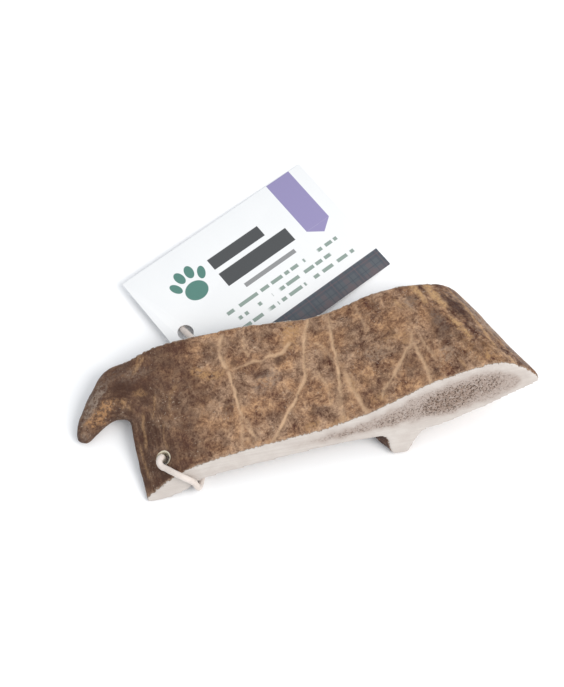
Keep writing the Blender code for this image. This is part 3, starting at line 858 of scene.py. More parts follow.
outer = 1.0 - on_saw
rim = ease(np.minimum(near_depth, far_depth), *RIM_REACH)
chips = ease(noise_over(points, 1.1, 55.0), *CHIP_EDGE) * rim
relief = (relief * (1 - RIM_CALM * rim) - CHIP_DEPTH * chips) * outer
relief += (ROUNDING_LOSS + END_RISE * ease(points[:, 0], *END_REACH)) * outer * (1 - rim)
by_far_edge = ease(far_depth, *FAR_EDGE_DEPTH) * ease(points[:, 0], *FAR_EDGE_REACH)
relief += FAR_EDGE_RISE * by_far_edge * outer * up_side
print("with the rims, mm:", round(float(relief.min()), 2), "to", round(float(relief.max()), 2))

# %% Pores, and the move itself
PORE_SPACING = 0.85
PORE_DEPTH = 0.45
PORE_WALL = (0.42, 0.16)  # share of the spacing where a pore sets in and where it is full
SPARSE_PORES = 0.3  # how deep the pores are where they don't crowd

in_core = core > 0.05
pore_gaps = [noise.voronoi(Vector(place))[0][0] for place in points[in_core] / PORE_SPACING]
pores = np.zeros(len(points))
pores[in_core] = ease(np.array(pore_gaps), *PORE_WALL)
relief -= PORE_DEPTH * pores * core * (SPARSE_PORES + (1 - SPARSE_PORES) * dense)
moved = (points + normals * relief[:, None]) * MM
antler.data.vertices.foreach_set("co", moved.ravel())
antler.data.update()
marks = {"vein": vein, "streak": streak, "dark": dark, "ochre": ochre, "glow": glow, "grey": grey,
         "pale": pale, "core": core, "veil": veil, "dense": dense, "pore": pores,
         "grain_share": grain_share,
         "grain": np.column_stack([grain_along, grain_in, points[:, 2]])}
for name, values in marks.items():
    store(antler.data, name, values)
print("relief, mm:", round(float(relief.min()), 2), "to", round(float(relief.max()), 2))

# %% [markdown]
# ## The card tag
# The tag is thin printed card with a punched hole. A scaled cube would do for the card alone, but
# it has no hole and its edges are too sharp to catch light. So its outline and its hole are drawn as
# two loops, filled, given the card's thickness, and bevelled by a hair. The real hole sits a little
# nearer to the lower edge than the middle of the short side, and so does this one. Each point
# keeps its place on the card in millimetres, which the print is laid out in.

# %% The card's outline and its hole
CARD_LENGTH = 85.0
CARD_WIDTH = 55.0
CARD_CORNER_RADIUS = 0.5
CARD_HOLE_RADIUS = 3.0
CARD_HOLE_SIDES = 64
CARD_HOLE_INSET = 6.8
CARD_HOLE_OFF_MIDDLE = -2.6


def corner_arcs(length, width, radius, steps=5):
    """The outline of a rounded rectangle from (0, 0) to (length, width)."""
    corners = [(length - radius, width - radius), (radius, width - radius),
               (radius, radius), (length - radius, radius)]
    outline = []
    for quarter, (x, y) in enumerate(corners):
        for step in range(steps + 1):
            angle = pi / 2 * (quarter + step / steps)
            outline.append((x + radius * cos(angle), y + radius * sin(angle)))
    return outline


def ring_of_edges(builder, plan):
    """A closed loop of edges through points given in mm on the card."""
    verts = [builder.verts.new((x * MM, y * MM, 0.0)) for x, y in plan]
    return [builder.edges.new((a, b)) for a, b in zip(verts, verts[1:] + verts[:1])]


builder = bmesh.new()
rim_edges = ring_of_edges(builder, corner_arcs(CARD_LENGTH, CARD_WIDTH, CARD_CORNER_RADIUS))
hole_turns = [2 * pi * k / CARD_HOLE_SIDES for k in range(CARD_HOLE_SIDES)]
hole_plan = [
    (CARD_HOLE_INSET + CARD_HOLE_RADIUS * cos(turn),
     CARD_WIDTH / 2 + CARD_HOLE_OFF_MIDDLE + CARD_HOLE_RADIUS * sin(turn))
    for turn in hole_turns]
rim_edges += ring_of_edges(builder, hole_plan)
bmesh.ops.triangle_fill(builder, edges=rim_edges, use_beauty=True)
print("edges round the card and its hole:", len(rim_edges))

# %% The card's body, laid in its place
CARD_THICKNESS = 0.45
CARD_TURN = radians(27.6)
CARD_PROP = radians(2.35)
CARD_RIGHT_EDGE = (31.2, 71.0, 0.1)
CARD_BEVEL = 0.06
BEVEL_FROM = radians(50)
SHARP_FROM = radians(35)

raised = bmesh.ops.extrude_face_region(builder, geom=builder.faces[:])
lifted = [part for part in raised["geom"] if isinstance(part, bmesh.types.BMVert)]
bmesh.ops.translate(builder, verts=lifted, vec=(0.0, 0.0, CARD_THICKNESS * MM))
card = object_from(builder, "card_printed")
soft_edge = card.modifiers.new("soft_edge", "BEVEL")
soft_edge.width = CARD_BEVEL * MM
soft_edge.segments = 2
soft_edge.limit_method = "ANGLE"
soft_edge.angle_limit = BEVEL_FROM
apply_modifiers(card)
card.data.set_sharp_from_angle(angle=SHARP_FROM)
store(card.data, "on_card", read_points(card.data))
turned = Matrix.Rotation(CARD_TURN, 4, "Z") @ Matrix.Rotation(CARD_PROP, 4, "Y")
from_left_corner = Matrix.Translation(Vector((-CARD_LENGTH, -CARD_WIDTH / 2, 0.0)) * MM)
card.data.transform(Matrix.Translation(Vector(CARD_RIGHT_EDGE) * MM) @ turned @ from_left_corner)
print("card faces:", len(card.data.polygons))

# %% [markdown]
# ## Mixing finishes from nodes
# The materials are procedural: noise, masks and a few named colours. A small helper adds nodes and
# hands back their outputs, so a finish reads as a recipe. Effects that more than one finish uses,
# slow drifts of tone, stretched grain lines and small flecks, are node groups that are built once.
# The photograph is bright enough to burn its white table out, and a little white light lies on
# every surface as sheen. So a colour that is read from it loses that sheen and is divided by the
# light before it becomes a paint.

# %% Colours as the photograph shows them
PHOTO_LIGHT = 1.3
SHEEN = 0.034
DARKEST_PAINT = 0.006


def tint(red, green, blue):
    """A colour as it looks in the photograph (0 to 255), as the linear paint that the light makes so."""
    shares = [value / 255 for value in (red, green, blue)]
    linear = [v / 12.92 if v <= 0.04045 else ((v + 0.055) / 1.055) ** 2.4 for v in shares]
    return tuple(max((value - SHEEN) / PHOTO_LIGHT, DARKEST_PAINT) for value in linear) + (1.0,)


print("a mid grey as paint:", [round(value, 3) for value in tint(128, 128, 128)])


# %% A helper for sums and shapes of values
class Sums:
    """Adds nodes to a node tree. What each method returns can feed the next one."""

    def __init__(self, tree):
        self.tree = tree

    def node(self, kind, **settings):
        node = self.tree.nodes.new(kind)
        for name, value in settings.items():
            setattr(node, name, value)
        return node

    def feed(self, socket, value):
        if isinstance(value, bpy.types.NodeSocket):
            self.tree.links.new(value, socket)
        else:
            socket.default_value = value

    def math(self, operation, *values, clamp=False):
        node = self.node("ShaderNodeMath", operation=operation, use_clamp=clamp)
        for socket, value in zip(node.inputs, values):
            self.feed(socket, value)
        return node.outputs[0]

    def vector(self, operation, *values):
        node = self.node("ShaderNodeVectorMath", operation=operation)
        for socket, value in zip(node.inputs, values):
            self.feed(socket, value)
        return node.outputs["Value" if operation in ("DOT_PRODUCT", "LENGTH") else "Vector"]

    def scaled(self, place, factor):
        node = self.node("ShaderNodeVectorMath", operation="SCALE")
        self.feed(node.inputs["Vector"], place)
        self.feed(node.inputs["Scale"], factor)
        return node.outputs["Vector"]

    def split(self, place):
        node = self.node("ShaderNodeSeparateXYZ")
        self.feed(node.inputs[0], place)
        return node.outputs

    def joined(self, x, y, z=0.0):
        node = self.node("ShaderNodeCombineXYZ")
        for socket, value in zip(node.inputs, (x, y, z)):
            self.feed(socket, value)
        return node.outputs[0]

    def ramp(self, value, low, high, to_low=0.0, to_high=1.0):
        """An S-curve from to_low at low to to_high at high."""
        node = self.node("ShaderNodeMapRange", interpolation_type="SMOOTHSTEP")
        for socket, number in zip(node.inputs, (value, low, high, to_low, to_high)):
            self.feed(socket, number)
        return node.outputs[0]

    def total(self, *shares):
        """A sum of values that are each multiplied by their own number."""
        result = 0.0
        for value, amount in shares:
            result = self.math("MULTIPLY_ADD", value, amount, result)
        return result


# %% A helper that pours a finish
FACTOR, FIRST_COLOUR, SECOND_COLOUR, MIXED_COLOUR = 0, 6, 7, 2  # the colour sockets of a Mix node


class Recipe(Sums):
    """Adds textures, stored marks, shared effects and colours to the sums."""

    def texture(self, kind, place, size, **values):
        """A texture node whose pattern is size mm large, with its sockets set by name."""
        node = self.node(kind)
        self.feed(node.inputs["Vector"], self.scaled(place, 1.0 / size))
        self.feed(node.inputs["Scale"], 1.0)
        for name, value in values.items():
            self.feed(node.inputs[name], value)
        return node

    def noise(self, place, size, detail=2.0, roughness=0.5, distortion=0.0):
        """Clouds about size mm large: how many finer layers they have and how strong those are."""
        node = self.texture("ShaderNodeTexNoise", place, size, Detail=detail, Roughness=roughness,
                            Distortion=distortion)
        return node.outputs[0]

    def warped(self, place, size, reach):
        """The place pushed about by up to reach mm, in lumps of size mm."""
        node = self.texture("ShaderNodeTexNoise", place, size, Detail=1.0)
        push = self.vector("SUBTRACT", node.outputs["Color"], (0.5, 0.5, 0.5))
        return self.vector("ADD", place, self.scaled(push, 2 * reach))

    def cells(self, place, size, feature="F1"):
        """Cells about size mm large: the distance to their middles or to their edges."""
        node = self.texture("ShaderNodeTexVoronoi", place, size)
        node.feature = feature
        return node.outputs["Distance"]

    def mix(self, factor, first, second):
        """The first colour where the factor is 0, turning into the second where it is 1."""
        node = self.node("ShaderNodeMix", data_type="RGBA")
        self.feed(node.inputs[FACTOR], factor)
        self.feed(node.inputs[FIRST_COLOUR], first)
        self.feed(node.inputs[SECOND_COLOUR], second)
        return node.outputs[MIXED_COLOUR]

    def mark(self, name, output="Fac"):
        """What a mesh attribute holds at the point."""
        return self.node("ShaderNodeAttribute", attribute_name=name).outputs[output]

    def place_mm(self):
        """The point's place on the object, in mm."""
        return self.scaled(self.node("ShaderNodeTexCoord").outputs["Object"], 1 / MM)

    def effect(self, group, **inputs):
        """Places a shared effect with its own values; returns the node's outputs."""
        node = self.node("ShaderNodeGroup", node_tree=group)
        for name, value in inputs.items():
            self.feed(node.inputs[name.replace("_", " ")], value)
        return node.outputs

    def bump(self, height, height_mm, strength):
        """A normal that shades a height from 0 to 1 as relief of height_mm."""
        node = self.node("ShaderNodeBump")
        self.feed(node.inputs["Height"], height)
        self.feed(node.inputs["Distance"], height_mm * MM)
        self.feed(node.inputs["Strength"], strength)
        return node.outputs["Normal"]


# %% Effects and finishes to pour into
def new_effect(name, inputs, outputs):
    """An empty node group with named inputs (and their values) and outputs."""
    group = bpy.data.node_groups.new(name, "ShaderNodeTree")
    for label, value in inputs.items():
        kind = "NodeSocketVector" if value is None else "NodeSocketFloat"
        socket = group.interface.new_socket(label, in_out="INPUT", socket_type=kind)
        if value is not None:
            socket.default_value = value
    for label in outputs:
        group.interface.new_socket(label, in_out="OUTPUT", socket_type="NodeSocketFloat")
    recipe = Recipe(group)
    entry = recipe.node("NodeGroupInput").outputs
    way_out = recipe.node("NodeGroupOutput").inputs
    return group, recipe, entry, way_out


def new_finish(name, roughness):
    """A material with its Principled shader and a recipe to pour its nodes with."""
    material = bpy.data.materials.new(name)
    material.use_nodes = True
    shader = material.node_tree.nodes["Principled BSDF"]
    shader.inputs["Roughness"].default_value = roughness
    return material, shader, Recipe(material.node_tree)


# %% Effects that several finishes share
tone_drift, recipe, entry, way_out = new_effect(
    "tone_drift", {"Place": None, "Patch Size": 8.0}, ["Drift"])
shrunk = recipe.vector("DIVIDE", entry["Place"], recipe.joined(*[entry["Patch Size"]] * 3))
broad = recipe.noise(shrunk, 1.0, 3.0, 0.55, 0.3)
recipe.feed(way_out["Drift"], recipe.ramp(broad, 0.34, 0.66))

grain_lines, recipe, entry, way_out = new_effect(
    "grain_lines", {"Grain Place": None, "Line Width": 1.5, "Length Share": 0.1}, ["Lines", "Hairs"])
along, across, height = recipe.split(entry["Grain Place"])
stretched = recipe.joined(recipe.math("MULTIPLY", along, entry["Length Share"]), across, height)
narrowed = recipe.vector("DIVIDE", stretched, recipe.joined(*[entry["Line Width"]] * 3))
recipe.feed(way_out["Lines"], recipe.ramp(recipe.noise(narrowed, 1.0, 3.0, 0.6, 0.4), 0.36, 0.64))
recipe.feed(way_out["Hairs"], recipe.ramp(recipe.noise(narrowed, 0.38, 2.0, 0.6), 0.38, 0.66))

small_flecks, recipe, entry, way_out = new_effect(
    "small_flecks", {"Place": None, "Fleck Size": 0.5, "Gather Size": 6.0}, ["Flecks"])
fleck_place = recipe.vector("DIVIDE", entry["Place"], recipe.joined(*[entry["Fleck Size"]] * 3))
gather_place = recipe.vector("DIVIDE", entry["Place"], recipe.joined(*[entry["Gather Size"]] * 3))
grit = recipe.ramp(recipe.noise(fleck_place, 1.0, 2.0, 0.6), 0.60, 0.72)
gathered = recipe.ramp(recipe.noise(gather_place, 1.0, 2.0, 0.5), 0.42, 0.62)
recipe.feed(way_out["Flecks"], recipe.math("MULTIPLY", grit, gathered))
print("shared effects:", [group.name for group in (tone_drift, grain_lines, small_flecks)])

# %% [markdown]
# ## The antler's finish
# One material covers the whole slice, because on the real thing the brown outer side and the pale
# sawn bone are one piece and meet in a ragged line. The outer side is built from broad drifts of
# brown, mottling of a few millimetres, grain lines near the ends, and then the stored marks on top:
# dark patches, ochre, streaks and veins, with painted light on the tine's lit flank and painted
# shade on the heel behind the stub. The sawn bone is ivory with the grey-brown sponge in it, and the
# drilled hole's wall is painted light.
# How deep a point lies behind a saw cut, plus a little noise, decides which of the two shows.
#
# How light the brown is comes from one sum of many small shares. Mixing colours by that sum as it
# is would make the dark steps look larger than the light ones, so it is raised to a power first.
# The left end looks the most weathered: there the brown is darker and cooler, and lighter grains
# stand out of it.

# %% The colours of the outer side
DEEP_COOL = tint(92, 67, 52)
LIGHT_COOL = tint(208, 173, 144)
DEEP_WARM = tint(95, 65, 44)
LIGHT_WARM = tint(213, 169, 130)
WEATHERED = tint(110, 89, 77)
# The dark patches of the outer side; the same paint is the painted shade on the heel behind the stub.
DARK_PATCH_AND_SHADE = tint(84, 64, 55)
PALE_TAN = tint(194, 160, 130)
VEIN_TAN = tint(224, 188, 154)
STREAK_TAN = tint(210, 170, 127)
OCHRE = tint(190, 150, 110)
# The lighter orange of the painted light on the tine's lit flank.
TINE_PAINTED_LIGHT_ORANGE = tint(188, 145, 107)
GREY_HORN = tint(163, 145, 131)
FLECK_PALE = tint(220, 200, 178)

bone, shader, recipe = new_finish("velvet_side_and_sawn_bone", 0.6)
place = recipe.place_mm()
x, y, z = recipe.split(place)
grain_place = recipe.mark("grain", "Vector")
grain_share_mark = recipe.mark("grain_share")

# %% How light or dark the brown is
USUAL_TONE = 0.465
STROKE_LENGTH_SHARE = 0.2
EVEN_STEPS_POWER = 1.4

drift = recipe.effect(tone_drift, Place=place, Patch_Size=20.0)["Drift"]
mottle = recipe.noise(place, 4.2, 4.0, 0.9, 0.3)
grit = recipe.noise(place, 0.9, 3.0, 0.7)
net = recipe.cells(recipe.warped(place, 2.4, 1.1), 3.2, "DISTANCE_TO_EDGE")
net = recipe.ramp(net, 0.22, 0.02)
fine_net = recipe.cells(recipe.warped(place, 1.2, 0.7), 1.5, "DISTANCE_TO_EDGE")
fine_net = recipe.ramp(fine_net, 0.18, 0.02)
lines = recipe.effect(grain_lines, Grain_Place=grain_place, Line_Width=1.6, Length_Share=0.12)
line_share = recipe.math("MULTIPLY", recipe.math("SUBTRACT", lines["Lines"], 0.5), grain_share_mark)
stroke_place = recipe.joined(x, recipe.math("MULTIPLY", y, STROKE_LENGTH_SHARE), z)
strokes = recipe.ramp(recipe.noise(stroke_place, 1.3, 2.0, 0.6, 0.3), 0.50, 0.36)
at_left = recipe.ramp(recipe.total((drift, 8.0), (x, 1.0)), -24.0, -48.0)
at_right = recipe.ramp(recipe.total((x, 1.0), (y, 0.4)), 52.0, 64.0)
stroke_share = recipe.math("MULTIPLY", strokes, at_left)
pits = recipe.ramp(grit, 0.44, 0.32)
grains = recipe.ramp(grit, 0.56, 0.72)
mottle_gain = recipe.ramp(at_left, 0.0, 1.0, 2.6, 1.7)
mottle_share = recipe.math("MULTIPLY", recipe.math("SUBTRACT", mottle, 0.5), mottle_gain)
tone = recipe.total(
    (1.0, USUAL_TONE),
    (recipe.math("SUBTRACT", drift, 0.5), 0.20),
    (mottle_share, 1.0),
    (net, 0.10),
    (fine_net, 0.10),
    (line_share, 0.36),
    (at_left, -0.53),
    (at_right, -0.16),
    (stroke_share, -0.20),
    (pits, -0.14),
    (grains, 0.14),
    (recipe.math("MULTIPLY", at_left, grit), 0.5))
tone = recipe.math("POWER", recipe.math("MAXIMUM", tone, 0.0), EVEN_STEPS_POWER, clamp=True)

# %% The brown outer side
WARM_DRIFT_START = (31.0, 7.0, 3.0)
WEATHERING = 0.5
FLECK_STRENGTH = 0.5

hue = recipe.effect(tone_drift, Place=recipe.vector("ADD", place, WARM_DRIFT_START), Patch_Size=8.0)
cool_brown = recipe.mix(tone, DEEP_COOL, LIGHT_COOL)
warm_brown = recipe.mix(tone, DEEP_WARM, LIGHT_WARM)
brown = recipe.mix(hue["Drift"], cool_brown, warm_brown)
brown = recipe.mix(recipe.math("MULTIPLY", at_left, WEATHERING), brown, WEATHERED)
flecks = recipe.effect(small_flecks, Place=place, Fleck_Size=0.75, Gather_Size=9.0)["Flecks"]
brown = recipe.mix(recipe.math("MULTIPLY", flecks, FLECK_STRENGTH), brown, FLECK_PALE)

# %% The stored marks on the outer side
speckle = recipe.noise(place, 1.3, 3.0, 0.8)
broken = recipe.ramp(speckle, 0.38, 0.56)
worn = recipe.ramp(speckle, 0.36, 0.56, 0.25, 1.0)
speckled = recipe.ramp(speckle, 0.42, 0.58, 0.05, 1.0)
half_broken = recipe.ramp(grit, 0.32, 0.54, 0.5, 1.0)
fading_noise = recipe.total((recipe.noise(place, 7.0, 2.0, 0.6), 0.7), (grit, 0.3))
fading = recipe.ramp(fading_noise, 0.36, 0.56, 0.45, 1.0)
# The dark mark also carries the painted shade on the heel behind the stub.
for mark, strength, mask, paint in (
        ("grey", 0.95, speckled, GREY_HORN), ("pale", 0.65, broken, PALE_TAN),
        ("dark", 0.70, half_broken, DARK_PATCH_AND_SHADE), ("ochre", 0.90, broken, OCHRE),
        ("glow", 1.0, speckled, TINE_PAINTED_LIGHT_ORANGE), ("streak", 1.0, worn, STREAK_TAN),
        ("vein", 0.95, fading, VEIN_TAN)):
    share = recipe.math("MULTIPLY", recipe.mark(mark), mask)
    brown = recipe.mix(recipe.math("MULTIPLY", share, strength), brown, paint)

# %% The sawn bone
IVORY = tint(229, 221, 214)
IVORY_SHADE = tint(207, 196, 189)
SPONGE_LIGHT = tint(192, 177, 168)
SPONGE_DARK = tint(164, 144, 132)
PORE_BROWN = tint(92, 73, 63)

cut_height = recipe.math("DIVIDE", z, cos(SAW_LEAN))
cut_place = recipe.joined(x, cut_height, 0.0)
cloud = recipe.effect(tone_drift, Place=cut_place, Patch_Size=6.0)["Drift"]
kerf = recipe.effect(grain_lines, Grain_Place=cut_place, Line_Width=0.8, Length_Share=0.04)
ivory = recipe.mix(recipe.math("MULTIPLY", cloud, 0.4), IVORY, IVORY_SHADE)
ivory = recipe.mix(recipe.math("MULTIPLY", kerf["Lines"], 0.35), ivory, IVORY_SHADE)
ivory = recipe.mix(recipe.math("MULTIPLY", recipe.mark("veil"), 0.5), ivory, SPONGE_LIGHT)
core_mark = recipe.mark("core")
dense_mark = recipe.mark("dense")
sponge = recipe.mix(dense_mark, SPONGE_LIGHT, SPONGE_DARK)
sponge_edge = recipe.ramp(recipe.noise(cut_place, 1.2, 3.0, 0.7), 0.32, 0.62, 0.45, 1.2)
sponge_share = recipe.math("MULTIPLY", core_mark, sponge_edge, clamp=True)
ivory = recipe.mix(sponge_share, ivory, sponge)
pore_depth = recipe.ramp(recipe.noise(cut_place, 1.1, 2.0, 0.7), 0.34, 0.60, 0.35, 1.0)
fine_pore = recipe.ramp(recipe.cells(cut_place, 0.66), 0.42, 0.20)
fine_pore = recipe.math("MULTIPLY", fine_pore, recipe.ramp(core_mark, 0.2, 0.9))
fine_pore = recipe.math("MULTIPLY", fine_pore, pore_depth)
fine_pore = recipe.math("MULTIPLY", fine_pore, recipe.ramp(dense_mark, 0.0, 0.8, 0.38, 1.0))
ivory = recipe.mix(fine_pore, ivory, PORE_BROWN)
pore_share = recipe.math("MULTIPLY", recipe.mark("pore"), recipe.ramp(dense_mark, 0.0, 0.9, 0.2, 0.85))
ivory = recipe.mix(recipe.math("MULTIPLY", pore_share, core_mark), ivory, PORE_BROWN)

# %% Where brown ends and sawn bone begins, and the hole's painted light
RIM_TAN = tint(198, 170, 146)
# The drilled hole's wall is painted lighter than the sawn bone: painted light against the shade in the
# hole.
HOLE_WALL_PAINTED_LIGHT = tint(255, 246, 222)
RAGGEDNESS = 1.3  # mm between the farthest tears of the line
SAWN_DEPTH = (0.42, 0.26)  # mm behind a cut where the ivory sets in and where it is full
RIM_DEPTH = (0.95, 0.35)
RIM_STRENGTH = 0.55
HOLE_LIP = (0.28, 0.12)  # the same, in mm outside the drilled hole

near_in = recipe.vector("DOT_PRODUCT", recipe.vector("SUBTRACT", place, (0.0, NEAR_CUT_Y, 0.0)),
                        (0.0, cos(SAW_LEAN), -sin(SAW_LEAN)))
far_in = recipe.math("SUBTRACT", PALM_WIDTH * cos(SAW_LEAN), near_in)
depth = recipe.math("MINIMUM", near_in, far_in)
tears = recipe.noise(place, 1.1, 3.0, 0.65)
ragged = recipe.math("MULTIPLY_ADD", tears, -RAGGEDNESS, RAGGEDNESS / 2)
ragged_depth = recipe.math("ADD", depth, ragged)
sawn = recipe.ramp(ragged_depth, *SAWN_DEPTH)
warm_rim = recipe.ramp(ragged_depth, *RIM_DEPTH)
colour = recipe.mix(recipe.math("MULTIPLY", warm_rim, RIM_STRENGTH), brown, RIM_TAN)
colour = recipe.mix(sawn, colour, ivory)
# Painted light: the drilled hole's wall takes the light paint.
from_hole = recipe.vector("LENGTH", recipe.vector(
    "SUBTRACT", recipe.joined(x, y, 0.0), (*HOLE_CENTRE, 0.0)))
in_hole = recipe.ramp(from_hole, *[HOLE_RADIUS + lip for lip in HOLE_LIP])
colour = recipe.mix(in_hole, colour, HOLE_WALL_PAINTED_LIGHT)
recipe.feed(shader.inputs["Base Color"], colour)

# %% The bone's sheen and its finest relief
handled = recipe.ramp(recipe.noise(place, 3.5, 2.0, 0.6), 0.35, 0.65, 0.50, 0.74)
recipe.feed(shader.inputs["Roughness"], recipe.ramp(sawn, 0.0, 1.0, handled, 0.78))
hair_share = recipe.math("MULTIPLY", lines["Hairs"], grain_share_mark)
outer_height = recipe.total((hair_share, 0.6), (grit, 0.9), (mottle, 1.6))
cut_relief = recipe.math("SUBTRACT", recipe.math("MULTIPLY", kerf["Hairs"], 0.12), fine_pore)
surface_height = recipe.math("ADD", recipe.math("MULTIPLY", sawn, cut_relief), recipe.math(
    "MULTIPLY", recipe.math("SUBTRACT", 1.0, sawn), outer_height))
recipe.feed(shader.inputs["Normal"], recipe.bump(surface_height, 0.35, 0.9))
shader.inputs["Specular IOR Level"].default_value = 0.3
antler.data.materials.append(bone)
print("bone finish nodes:", len(bone.node_tree.nodes))

# %% [markdown]
# ## The cord's finish
# The cord is undyed cotton: off-white, quite matt, with drifts and small flecks of a greyer tone,
# and fine fibres in its bump.

# %% Cotton
COTTON = tint(245, 233, 225)
COTTON_SHADE = tint(208, 193, 180)

cotton, shader, recipe = new_finish("undyed_cotton", 0.82)
place = recipe.place_mm()
aged = recipe.effect(tone_drift, Place=place, Patch_Size=5.0)["Drift"]
lint = recipe.effect(small_flecks, Place=place, Fleck_Size=0.35, Gather_Size=3.0)["Flecks"]
fibre = recipe.noise(place, 0.28, 3.0, 0.65)
cotton_colour = recipe.mix(recipe.math("MULTIPLY", aged, 0.35), COTTON, COTTON_SHADE)
cotton_colour = recipe.mix(recipe.math("MULTIPLY", lint, 0.4), cotton_colour, COTTON_SHADE)
recipe.feed(shader.inputs["Base Color"], cotton_colour)
recipe.feed(shader.inputs["Normal"], recipe.bump(fibre, 0.12, 0.6))
shader.inputs["Sheen Weight"].default_value = 0.25
cord.data.materials.append(cotton)
knot.data.materials.append(cotton)

# %% [markdown]
# ## The card's finish
# The real tag is printed. This one carries a plain design of its own in the same kind of colours: a
# paw, two bars and three rows of dashes where a tag has words, a purple tab for the size, and a
# strip of woven check along the lower edge. Everything is laid out in millimetres from the card's
# lower left corner, and each shape is a mask with a sharp edge.

# %% Shapes to print with
PRINT_EDGE = 0.10

bar_shape, recipe, entry, way_out = new_effect(
    "bar_shape", {"Place": None, "Left": 0.0, "Right": 1.0, "Bottom": 0.0, "Top": 1.0}, ["Mask"])
x, y, z = recipe.split(entry["Place"])
inside = recipe.math("SUBTRACT", x, entry["Left"])
for distance in (
        recipe.math("SUBTRACT", entry["Right"], x),
        recipe.math("SUBTRACT", y, entry["Bottom"]),
        recipe.math("SUBTRACT", entry["Top"], y)):
    inside = recipe.math("MINIMUM", inside, distance)
recipe.feed(way_out["Mask"], recipe.ramp(inside, -PRINT_EDGE / 2, PRINT_EDGE / 2))

oval_shape, recipe, entry, way_out = new_effect(
    "oval_shape", {"Place": None, "Across": 0.0, "Up": 0.0, "Half Width": 1.0, "Half Height": 1.0,
                   "Lean": 0.0}, ["Mask"])
x, y, z = recipe.split(entry["Place"])
x = recipe.math("SUBTRACT", x, entry["Across"])
y = recipe.math("SUBTRACT", y, entry["Up"])
x = recipe.math("SUBTRACT", x, recipe.math("MULTIPLY", y, entry["Lean"]))
reach = recipe.vector("LENGTH", recipe.joined(
    recipe.math("DIVIDE", x, entry["Half Width"]), recipe.math("DIVIDE", y, entry["Half Height"])))
recipe.feed(way_out["Mask"], recipe.ramp(reach, 1.03, 0.97))

# %% Card stock and its print
CARD_WHITE = (0.775, 0.780, 0.785, 1.0)
CARD_SHADE = (0.750, 0.757, 0.768, 1.0)
CHARCOAL = tint(68, 70, 72)
TEAL = tint(102, 146, 136)
SAGE = tint(140, 160, 150)
PURPLE = tint(165, 157, 200)
SLATE = tint(100, 105, 111)
CHECK_RED = tint(118, 104, 108)
CHECK_NAVY = tint(84, 90, 100)
BARS = [(31.0, 55.0, 38.6, 43.6), (31.0, 63.0, 30.0, 36.4)]
SMALL_BARS = [(36.0, 60.0, 25.6, 27.4)]
DASH_ROWS = [(18.0, 76.0, 20.4, 21.9), (22.0, 70.0, 16.4, 17.9), (20.0, 78.0, 12.4, 13.9)]
DASH_LENGTH = 6.0
PAW = [(20.5, 36.0, 4.6, 3.9, 0.0), (14.6, 41.0, 1.7, 2.5, -0.3), (18.3, 43.8, 1.8, 2.7, -0.1),
       (22.7, 43.8, 1.8, 2.7, 0.1), (26.4, 41.0, 1.7, 2.5, 0.3)]
TAB = (68.5, 79.5, 30.0, 60.0)
TAB_POINT = 26.0
CHECK_TOP = 8.4
CHECK_REPEAT = 11.0

stock, shader, recipe = new_finish("printed_card_stock", 0.42)
on_card = recipe.mark("on_card", "Vector")
card_x, card_y, card_z = recipe.split(on_card)


def printed(colour, mask, ink, strength=1.0):
    """Ink laid over what is there, through a mask."""
    return recipe.mix(recipe.math("MULTIPLY", mask, strength), colour, ink)


def bar(left, right, bottom, top):
    return recipe.effect(bar_shape, Place=on_card, Left=left, Right=right, Bottom=bottom, Top=top)["Mask"]


patchy = recipe.effect(tone_drift, Place=on_card, Patch_Size=14.0)["Drift"]
card_colour = recipe.mix(recipe.math("MULTIPLY", patchy, 0.35), CARD_WHITE, CARD_SHADE)
for edges in BARS:
    card_colour = printed(card_colour, bar(*edges), CHARCOAL, 0.95)
for edges in SMALL_BARS:
    card_colour = printed(card_colour, bar(*edges), CHARCOAL, 0.7)
for row, edges in enumerate(DASH_ROWS):
    dashes = recipe.joined(recipe.math("DIVIDE", card_x, DASH_LENGTH), float(row * 7), 0.0)
    words = recipe.ramp(recipe.cells(dashes, 1.0, "DISTANCE_TO_EDGE"), 0.06, 0.09)
    mask = recipe.math("MULTIPLY", bar(*edges), words)
    card_colour = printed(card_colour, mask, SAGE, 0.9)
for across, up, half_width, half_height, lean in PAW:
    pad = recipe.effect(oval_shape, Place=on_card, Across=across, Up=up, Half_Width=half_width,
                        Half_Height=half_height, Lean=lean)["Mask"]
    card_colour = printed(card_colour, pad, TEAL)
print("bars, dashes and pads:", len(BARS) + len(SMALL_BARS) + len(DASH_ROWS) + len(PAW))

# %% The purple tab and the woven check
CHECK_STRENGTH = 0.7
PAST_EDGE = 1.0

